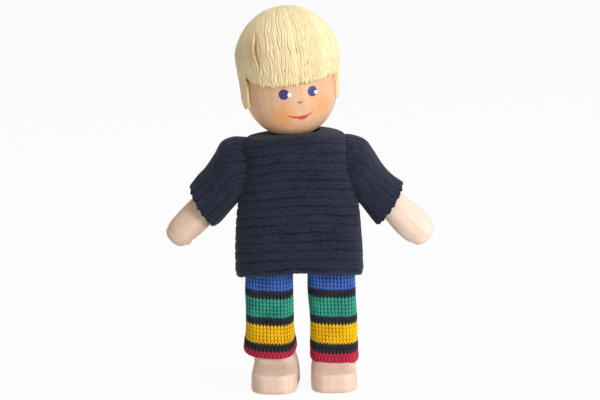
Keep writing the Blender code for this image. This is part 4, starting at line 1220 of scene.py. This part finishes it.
CROTCH_HALF, CROTCH_LOW, CROTCH_OVERLAP = 2.3, 31.6, 0.6
CROTCH_COLUMNS, CROTCH_STEPS = 13, 40
sweep = np.linspace(0, np.pi, CROTCH_STEPS)
strip = []
for x in np.linspace(-CROTCH_HALF, CROTCH_HALF, CROTCH_COLUMNS):
    y = -(seat_half[1] - CROTCH_OVERLAP) * np.cos(sweep)
    z = SEAT_LOWEST + CROTCH_OVERLAP - (SEAT_LOWEST - CROTCH_LOW) * np.sin(sweep) ** 0.7
    strip.append(np.column_stack([np.full(len(sweep), x), y, z]))
strip_points = np.vstack(strip)
strip_faces = grid_faces(CROTCH_COLUMNS, CROTCH_STEPS, closed=False)
strip_relief = np.full(len(strip_points), 0.5)
crotch = make_piece("trouser_crotch", strip_points, strip_faces, [stripe_finish["blue"]], strip_relief)
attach(crotch, "torso")
print("seat band", np.round(seat_half * 2, 1), "mm across")

# %% [markdown]
# ## Ribbed sweater
# The sweater is one tube of ribbed knitting, worn sideways: the ribs run round the body and, on the
# sleeves, along the arm. A rib is a wide soft band between two narrow hollows, with a shallower
# hollow in its middle. The profile of the body runs from inside the hem, over the shoulder to the
# inside of the neck, and ribs are counted along it.

# %% Rib relief
RIB_PITCH, RIB_DEPTH = 2.18, 0.28
HOLLOW_HALF, CREASE_HALF, CREASE_SHARE, HOLLOW_LIGHT = 0.34, 0.18, 0.4, 0.4


def rib_relief(along):
    """1 on a rib, 0 in the hollow between two ribs, at a distance in mm across the ribs."""
    phase = along / RIB_PITCH
    from_hollow = np.abs(phase - np.round(phase)) * RIB_PITCH
    from_crease = np.abs(phase - np.floor(phase) - 0.5) * RIB_PITCH
    crease = CREASE_SHARE * bell(from_crease, CREASE_HALF)
    return 1 - np.maximum(bell(from_hollow, HOLLOW_HALF), crease)


def soften(relief):
    """The relief that the finish sees, whose hollows, painted as shade, are less dark than they are deep."""
    return HOLLOW_LIGHT + (1 - HOLLOW_LIGHT) * relief


def scaled_ring(half_width, half_depth, squareness, count):
    """An oval with points even at its own size, scaled to reach 1 both ways."""
    return oval_ring(half_width, half_depth, squareness, count) / np.array([half_width, half_depth])


def uneven_round(count, waves, seed):
    """A gentle unevenness round a ring, between -1 and 1, from a few waves."""
    draw = np.random.default_rng(seed)
    angle = turns(count)
    total = sum(draw.uniform(0.5, 1) * np.sin(k * angle + draw.uniform(0, 6.3)) for k in waves)
    return total / np.abs(total).max()


# The navy's hollow colour is painted shade in the hollows between the ribs and the stitches
NAVY_TONE, NAVY_HOLLOW_SHADE = screen_colour(43, 48, 66), screen_colour(11, 12, 17)
NAVY_GRAIN = (0.8, 0.8, 0.34)
navy_knit = knit_finish("navy_knit", NAVY_TONE, NAVY_HOLLOW_SHADE, 0.0, 1.2, NAVY_GRAIN, 1.9, stitched=True)
print("ribs every", RIB_PITCH, "mm")

# %% Profile of the sweater
BODY_COLUMNS, BODY_STEP = 360, 0.27
# Height, half width and half depth, from inside the hem to inside the neck
BODY_PROFILE = np.array((
    (31.4, 14.75, 9.85),
    (30.3, 14.8, 9.9),
    (29.95, 15.1, 10.25),
    (30.25, 15.45, 10.6),
    (33.0, 15.75, 10.7),
    (38.0, 15.55, 10.45),
    (43.0, 15.2, 10.25),
    (48.0, 14.5, 10.1),
    (53.0, 13.8, 10.0),
    (57.0, 13.25, 9.95),
    (60.0, 12.85, 9.75),
    (61.4, 12.5, 9.4),
    (62.35, 11.8, 8.9),
    (62.85, 10.4, 8.2),
    (63.2, 8.8, 7.3),
    (63.42, 7.1, 6.1),
    (63.4, 6.1, 5.4),
    (63.0, 5.65, 5.05),
    (61.6, 5.9, 5.2),
))
HEM_PLACE, SIDE_DROP, LEG_DROP = 3, 1.4, 0.55
COLLAR_LEAN, BODY_LEAN = 0.4, 0.45
# How far a rib falls from the middle to the doll's right and left side
RIB_FALL_RIGHT, RIB_FALL_LEFT = 1.6, 1.0
# Heights from which the body turns from square to round, the ribs fall fully, the ribs grow fainter,
# the body leans over and the collar leans, each with the reach over which that happens
ROUND_FROM, FALL_FROM, FAINT_FROM, LEAN_FROM, COLLAR_FROM = (59, 4.5), (32, 10), (57, 3), (48, 14), (60, 3)
HEM_TOP, HEM_REACH = 38.0, 9.0
# Height, reach and depth of the slump round the waist
SLUMP_Z, SLUMP_REACH, SLUMP_DEPTH = 40.0, 13.0, 0.28
# Ribs end on the turned hem and inside the neck, where the cloth has one plain relief
HEM_TURN, NECK_TURN, TURN_FADE, PLAIN_RELIEF = 0.9, 1.6, 0.6, 0.35
# Half width, half depth and squareness of the ring at the waist and at the neck
WAIST_RING, NECK_RING = (1.5, 1.0, 3.3), (1.2, 1.0, 2.1)
# Depth, number round the body and twist per mm of height of the waves in a rib, and its other unevenness
RIB_WAVES, RIB_UNEVEN, HEM_UNEVEN, COLLAR_UNEVEN = ((0.1, 5, 0.23), (0.06, 11, -0.41)), 0.12, 0.14, 0.15
# From here outwards the hem drops over the legs
OVER_LEGS = (2.0, 3.5)
print("profile of the body:", len(BODY_PROFILE), "places")

# %% Body of the sweater


def body_grid():
    """The body as a grid of points, its relief, and distances in mm from the hem and across the ribs."""
    stations = running_length(BODY_PROFILE[:, :2])
    along = np.arange(0, stations[-1], BODY_STEP)
    height, half_width, half_depth = smooth_values(stations, BODY_PROFILE, along).T
    waist, neck = (scaled_ring(*shape, BODY_COLUMNS) for shape in (WAIST_RING, NECK_RING))
    neckness = passed(height, *ROUND_FROM)[:, None, None]
    ring = (1 - neckness) * waist + neckness * neck
    from_hem = along - stations[HEM_PLACE]
    turn = turns(BODY_COLUMNS)[None, :]
    wander = RIB_UNEVEN * uneven_round(BODY_COLUMNS, (2, 3, 5, 7), 3)[None, :]
    wander = wander + folds_round(RIB_WAVES, turn, from_hem[:, None])
    aside = ring[..., 0]
    arch = RIB_FALL_LEFT * np.clip(aside, 0, 1) ** 2 + RIB_FALL_RIGHT * np.clip(-aside, 0, 1) ** 2
    arch = arch * (0.3 + 0.7 * passed(height[:, None], *FALL_FROM))
    place = from_hem[:, None] + wander + arch + 0.5 * RIB_PITCH
    faint = 0.8 + 0.2 * np.sin(3 * turn + 1.7 * np.round(place / RIB_PITCH))
    ribs = 1 - (1 - rib_relief(place)) * faint * (1 - 0.1 * passed(height[:, None], *FAINT_FROM))
    ribbed = smooth_step((from_hem + HEM_TURN) / HEM_TURN)
    ribbed = (ribbed * smooth_step((stations[-1] - NECK_TURN - along) / TURN_FADE))[:, None]
    relief = PLAIN_RELIEF + (ribs - PLAIN_RELIEF) * ribbed
    x, y = ring[..., 0] * half_width[:, None], ring[..., 1] * half_depth[:, None]
    outward = np.stack([x, y], axis=-1) / np.maximum(np.hypot(x, y), 1e-9)[..., None]
    slump = SLUMP_DEPTH * bell(height - SLUMP_Z, SLUMP_REACH)[:, None]
    slump = slump * uneven_round(BODY_COLUMNS, (3, 4, 6, 9), 8)
    swell = RIB_DEPTH * (relief - 1) * ribbed + slump
    x, y = x + outward[..., 0] * swell, y + outward[..., 1] * swell
    x = x - BODY_LEAN * passed(height[:, None], *LEAN_FROM)
    near_hem = smooth_step((HEM_TOP - height) / HEM_REACH)[:, None]
    sides = np.clip(np.abs(ring[..., 0]), 0, 1) ** 6
    ragged = HEM_UNEVEN * uneven_round(BODY_COLUMNS, (9, 14, 31, 47, 58, 71), 5)
    over_legs = passed(np.abs(x), *OVER_LEGS)
    z = height[:, None] + near_hem * (ragged - SIDE_DROP * sides - LEG_DROP * over_legs)
    collar = COLLAR_LEAN * np.sin(turn) + COLLAR_UNEVEN * uneven_round(BODY_COLUMNS, (2, 3), 21)[None, :]
    z = z + passed(height[:, None], *COLLAR_FROM) * collar
    return np.stack([x, y, z], axis=-1), soften(relief), from_hem, place


body, body_relief, body_along, body_place = body_grid()
body_rows = body.shape[0]
body_points = body.reshape(-1, 3)
body_faces = grid_faces(body_rows, BODY_COLUMNS)
body_normals = grid_normals(body_points, body_faces)
print("sweater body:", body_rows, "rows of", BODY_COLUMNS, "points")

# %% Map of the small stitches
WALE_PITCH, COURSE_PITCH = RIB_PITCH / 2, 0.72


def map_stitches(piece, columns, count, along, round_mm):
    """Writes where each corner lies in the knitting, so that the finish can draw stitches there."""
    mesh = piece.data
    corners = np.zeros(len(mesh.loops), dtype=np.int32)
    mesh.loops.foreach_get("vertex_index", corners)
    column = columns[corners]
    per_face = column.reshape(-1, 4)
    wrapped = (per_face.max(axis=1, keepdims=True) - per_face) > count / 2
    around = (per_face + wrapped * count).ravel() / count * round_mm / COURSE_PITCH
    spots = np.stack([along[corners] / WALE_PITCH, around], axis=1).astype(np.float32)
    mesh.uv_layers.new(name="stitches").data.foreach_set("uv", spots.ravel())


def cut_knit(name, points, faces, relief, normals, columns, along, round_mm):
    """A piece of ribbed knitting from some faces of a grid."""
    piece = make_piece(name, points, faces, [navy_knit], relief, normals)
    used = np.unique(faces)
    map_stitches(piece, (used % columns).astype(float), columns, along[used], round_mm)
    return piece


print("stitches of", round(WALE_PITCH, 2), "by", COURSE_PITCH, "mm")

# %% [markdown]
# ## The hem in halves
# When a leg lifts to sit, its thigh pushes the front of the sweater up. The front below the waist is
# therefore cut into a half for each thigh, and each half into a middle, a front and a side strip. The
# seams between the strips are first laid flat below the waist.

# %% Seams of the hem
LIFT_TOP, LIFT_SPAN, LIFT_FADE = 45.5, 28.9, 0.62
CENTRE_STRIP, SIDE_STRIP = 3.0, 3.0
face_row = np.repeat(np.arange(body_rows - 1), BODY_COLUMNS)
face_column = np.tile(np.arange(BODY_COLUMNS), body_rows - 1)
hem_row = int(np.argmin(np.abs(body_along)))
hem_ring = body[hem_row]
quarter = BODY_COLUMNS // 4
centre_column = int(np.argmin(np.abs(hem_ring[:quarter, 0] - CENTRE_STRIP)))
side_column = int(np.argmin(np.abs(hem_ring[:quarter, 1] + SIDE_STRIP)))
centre_x, side_y = float(hem_ring[centre_column, 0]), float(hem_ring[side_column, 1])
SEAM_REACH, SEAM_FADE = 8, 3.0


def flatten_seam(column, axis, place):
    """Moves a seam below the waist into one plane and its neighbours with it, so that it stays shut."""
    below = smooth_step((LIFT_TOP - body[:, 0, 2]) / SEAM_FADE)
    move = below * (place - body[:, column, axis])
    print("seam", column, "moves up to", round(float(np.abs(move).max()), 3), "mm")
    for step in range(-SEAM_REACH, SEAM_REACH + 1):
        body[:, column + step, axis] += (1 - abs(step) / (SEAM_REACH + 1)) * move


for sign in SIDES.values():
    flatten_seam(sign * centre_column, 0, sign * centre_x)
for sign in SIDES.values():
    flatten_seam(sign * side_column, 1, side_y)
print("seams lie at x", round(centre_x, 2), "and y", round(side_y, 2), "mm")

# %% Armholes and cuts
# An armhole is an oval: how far out it starts, its height, and half its depth and its height
ARMHOLE_FROM, ARMHOLE_Z, ARMHOLE_HALF_DEPTH, ARMHOLE_HALF_HEIGHT = 10.5, 54.4, 6.8, 7.0
centres = body_points[body_faces].mean(axis=1)
deep, high = centres[:, 1] / ARMHOLE_HALF_DEPTH, (centres[:, 2] - ARMHOLE_Z) / ARMHOLE_HALF_HEIGHT
in_armhole = (np.abs(centres[:, 0]) > ARMHOLE_FROM) & (np.hypot(deep, high) < 1)
mirrored = np.minimum(face_column, BODY_COLUMNS - 1 - face_column)
front = (body[:, 0, 2][face_row] < LIFT_TOP) & (mirrored < quarter)
BODY_ROUND = 88.0


def knit_from_body(name, chosen):
    """A piece of the body from the chosen faces, without the armholes."""
    facts = (body_relief.ravel(), body_normals, BODY_COLUMNS, body_place.ravel(), BODY_ROUND)
    return cut_knit(name, body_points, body_faces[chosen & ~in_armhole], *facts)


print("armholes take", int(in_armhole.sum()), "faces")

# %% Cut the body into its pieces
COLLAR_START, COLLAR_BEND = 61.4, (62.3, 63.5)
collar_row = int(np.argmax(body[:, 0, 2] > COLLAR_START))
in_collar = face_row >= collar_row
sweater = knit_from_body("sweater_body", ~front & ~in_collar)
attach(sweater, "torso")
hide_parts("sweater_front", "sweater_back")
collar = knit_from_body("sweater_collar", in_collar)
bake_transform(collar)
hem_pieces = []
for side, sign in SIDES.items():
    own_half = front & ((face_column < quarter) if sign > 0 else (face_column >= 3 * quarter))
    fall, inward, backward = -1 / LIFT_SPAN, sign * LIFT_FADE / centre_x, LIFT_FADE / side_y
    between = (mirrored >= centre_column) & (mirrored < side_column)
    strips = (
        ("middle", mirrored < centre_column, (inward, 0, fall), (sign * centre_x, 0, LIFT_TOP)),
        ("front", between, (0, 0, fall), (0, 0, LIFT_TOP)),
        ("side", mirrored >= side_column, (0, backward, fall), (0, side_y, LIFT_TOP)),
    )
    for part, chosen, slope, zero in strips:
        piece = knit_from_body(f"sweater_hem_{part}_{side}", own_half & chosen)
        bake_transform(piece)
        hem_pieces.append(piece)
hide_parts("sweater_front_hem")
print("sweater body in", 2 + len(hem_pieces), "pieces, with its collar")

# %% [markdown]
# ## Sleeves
# A sleeve is a short wide tube that hangs off the shoulder, narrow at its mouth and cut at a slant.
# Its ribs run from the shoulder to the mouth. It is made in two pieces, an upper one and a lower one
# with the mouth, cut at the elbow.

# %% Outlines of the sleeves
SLEEVE_COLUMNS, SLEEVE_ROWS = 224, 96
# Outwards and upwards places of the upper and the lower outline, from inside the body to the mouth
SLEEVE_TOP = {
    "left": (
        (10.6, 61.9), (12.2, 62.3), (14.6, 61.8), (16.9, 60.6),
        (18.6, 58.2), (20.8, 54.6), (23.0, 52.1), (25.5, 50.3),
    ),
    "right": (
        (10.6, 61.9), (12.8, 62.1), (15.7, 62.2), (18.5, 61.0),
        (20.2, 58.2), (22.4, 55.0), (24.4, 52.9), (26.3, 50.5),
    ),
}
SLEEVE_UNDER = {
    "left": (
        (10.6, 47.0), (12.8, 46.4), (14.4, 45.6), (15.3, 44.7),
        (16.1, 43.6), (17.1, 42.2), (18.0, 40.9), (18.7, 40.0),
    ),
    "right": (
        (10.6, 47.4), (12.8, 46.9), (14.5, 46.2), (15.6, 45.1),
        (16.6, 44.0), (17.9, 42.5), (19.1, 41.2), (20.3, 40.4),
    ),
}
SLEEVE_HALF_DEPTH = (6.6, 6.9, 7.2, 7.0, 6.4, 5.9, 5.55, 5.35)
MOUTH_BOW = (0, 0, 0, 0, 0.1, 0.35, 0.65, 0.85)
MOUTH_ROLL = ((0.3, 0.12), (0.6, -0.1), (0.72, -0.9), (0.75, -2.2))
ELBOW_STATION = 4
SPLIT_RING = int(round(ELBOW_STATION / (len(SLEEVE_HALF_DEPTH) - 1) * (SLEEVE_ROWS - 1)))
SLEEVE_RIBS, SLEEVE_RADIUS, SLEEVE_HOLLOW, SLEEVE_DENTS = 16, 6.5, 0.45, 0.18
# Raggedness and scallops of the mouth, and the relief of its rolled edge as a share of the last ring's, which
# paints it darker, as shade inside the sleeve
MOUTH_RAGGED, MOUTH_SCALLOP, MOUTH_SHADE_RELIEF = 0.2, 0.6, 0.5
SLEEVE_RING = (1.1, 1.0, 2.3)
print("a sleeve is cut at ring", SPLIT_RING, "of", SLEEVE_ROWS)

# %% Sleeve shape


def sleeve_grid(side):
    """Points of a sleeve, its relief, the distance across its ribs, and its rings' middles and ways out."""
    stations = np.arange(len(SLEEVE_HALF_DEPTH), dtype=float)
    fine = np.linspace(0, stations[-1], SLEEVE_ROWS)
    top = smooth_values(stations, SLEEVE_TOP[side], fine)
    under = smooth_values(stations, SLEEVE_UNDER[side], fine)
    depth = smooth_values(stations, SLEEVE_HALF_DEPTH, fine)
    bow = smooth_values(stations, MOUTH_BOW, fine)
    middle, half = (top + under) / 2, (top - under) / 2
    outward = unit_rows(np.stack([half[:, 1], -half[:, 0]], axis=1))
    ring = scaled_ring(*SLEEVE_RING, SLEEVE_COLUMNS)
    across = np.arange(SLEEVE_COLUMNS) / SLEEVE_COLUMNS * SLEEVE_RIBS * RIB_PITCH
    wander = 0.12 * np.sin(fine[:, None] * 1.3 + 0.9 * np.arange(SLEEVE_COLUMNS)[None, :] / 20)
    relief = SLEEVE_HOLLOW + (1 - SLEEVE_HOLLOW) * rib_relief(across[None, :] + wander)
    dents = SLEEVE_DENTS * uneven_round(SLEEVE_COLUMNS, (2, 3, 5), 31)[None, :]
    swell = 1 + (RIB_DEPTH * (relief - 1) + dents) / SLEEVE_RADIUS
    ragged = MOUTH_RAGGED * uneven_round(SLEEVE_COLUMNS, (7, 16, 23, 32, 41), 44)
    ragged = ragged + MOUTH_SCALLOP * (relief[-1:] - 0.75)
    ragged = ragged * (fine[:, None] / stations[-1]) ** 4
    push = bow[:, None] * np.clip(-ring[None, :, 1], 0, 1) ** 1.5 + ragged
    lift = ring[None, :, 0] * swell
    x = middle[:, :1] + half[:, :1] * lift + outward[:, :1] * push
    z = middle[:, 1:] + half[:, 1:] * lift + outward[:, 1:] * push
    y = depth[:, None] * ring[None, :, 1] * swell
    grid = np.stack([x, y, z], axis=-1)
    mouth = grid[-1]
    inward = unit_rows(mouth.mean(axis=0) - mouth)
    way = np.array([outward[-1, 0], 0, outward[-1, 1]])
    rolled = [mouth + step_in * inward + step_on * way for step_in, step_on in MOUTH_ROLL]
    grid = np.concatenate([grid, np.array(rolled)])
    # The rolled mouth is painted darker, as shade, by a lower relief
    relief = np.concatenate([relief, np.repeat(MOUTH_SHADE_RELIEF * relief[-1:], len(rolled), axis=0)])
    grid[..., 0] *= SIDES[side]
    return grid, soften(relief), np.tile(across, (grid.shape[0], 1)), middle, outward


print("sleeve:", SLEEVE_ROWS, "rings of", SLEEVE_COLUMNS, "points")

# %% Cut each sleeve at the elbow
sleeves = {}
for side, sign in SIDES.items():
    grid, relief, across, middle, outward = sleeve_grid(side)
    points = grid.reshape(-1, 3)
    faces = grid_faces(grid.shape[0], SLEEVE_COLUMNS)
    faces = faces if side == "right" else faces[:, ::-1]
    normals = grid_normals(points, faces)
    row = np.repeat(np.arange(grid.shape[0] - 1), SLEEVE_COLUMNS)
    facts = (relief.ravel(), normals, SLEEVE_COLUMNS, across.ravel(), SLEEVE_RIBS * RIB_PITCH)
    cap_part = cut_knit(f"sleeve_cap_{side}", points, faces[row < SPLIT_RING], *facts)
    mouth_part = cut_knit(f"sleeve_mouth_{side}", points, faces[row >= SPLIT_RING], *facts)
    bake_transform(cap_part)
    start = np.array([sign * middle[SPLIT_RING, 0], 0, middle[SPLIT_RING, 1]])
    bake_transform(mouth_part)
    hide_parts(f"sleeve_{side}")
    sleeves["cap", side], sleeves["mouth", side] = cap_part, mouth_part
    print(side, "sleeve:", len(faces), "faces")

# %% [markdown]
# ## How the knitting was cut
# The flat size of each piece of knitting, which it had before it was sewn and put on, is printed. A
# trouser leg is a straight tube, so its flat size is once round by its length. The other sizes are
# measured along the middle of a piece, and a piece that isn't a rectangle also gives its area.

# %% Flat sizes
LEG_ROUND, EDGE_TURN = 35.6, 1.4
STRIPED_LENGTH, WHOLE_LENGTH = row_place(np.array([ROWS_IN_LEG - STRIPES[-1][1], ROWS_IN_LEG])).tolist()
BODY_LENGTH, BODY_AREA = 33.6, 1760.0
HEM_FLAT = (17.0, 16.2)
CAP_FLAT, CAP_AREA = (48.0, 10.4), 400.0
MOUTH_FLAT = (38.0, 10.2)


def cut_flat(piece, width, length, area=None, with_pieces=()):
    """Prints the name and the flat size in mm of a piece of knitting. Its area in square mm is not used."""
    print(piece.name, "was cut to", round(width, 1), "by", round(length, 1), "mm")


for side in SIDES:
    cut_flat(trousers["lower", side], LEG_ROUND, STRIPED_LENGTH + EDGE_TURN)
    waist = [seat, crotch] if side == "left" else []
    cut_flat(trousers["upper", side], LEG_ROUND, WHOLE_LENGTH - STRIPED_LENGTH, with_pieces=waist)
    cut_flat(sleeves["cap", side], *CAP_FLAT, CAP_AREA)
    cut_flat(sleeves["mouth", side], *MOUTH_FLAT)
    hem = [piece for piece in hem_pieces if piece.name.endswith(side)]
    cut_flat(hem[1], *HEM_FLAT, with_pieces=[hem[0], hem[2]])
cut_flat(sweater, BODY_ROUND, BODY_LENGTH, BODY_AREA, [collar])

# %% [markdown]
# ## What lies underneath
# The body block, the thighs, the upper arms and the pins are kept from the model, because they only
# show through a sleeve or under the hem. They still get their finishes: bare wood, drawn brass for
# the pins and white rubber in cotton for the elastic.

# %% Finishes of the hidden pieces
brass_tones = screen_colour(196, 158, 92), screen_colour(226, 190, 120)
brass = grained_finish("drawn_brass", brass_tones, (0.05, 0.4, 0.4), 2.0, (0.1, 0.02), roughness=0.35)
brass.node_tree.nodes["Principled BSDF"].inputs["Metallic"].default_value = 1.0
cotton_tones = screen_colour(205, 203, 198), screen_colour(240, 238, 232)
look = {"roughness": 0.85, "sheen": 0.1}
elastic = grained_finish("white_elastic", cotton_tones, (0.3, 0.3, 0.6), 1.0, (0.6, 0.1), **look)
for name, node in nodes.items():
    finish = brass if "_pin" in name else elastic if name == "waist_elastic" else foot_wood
    if not node.material_slots:
        node.data.materials.append(finish)
    for slot in node.material_slots:
        slot.material = finish
print("finished", len(nodes), "nodes of the model")
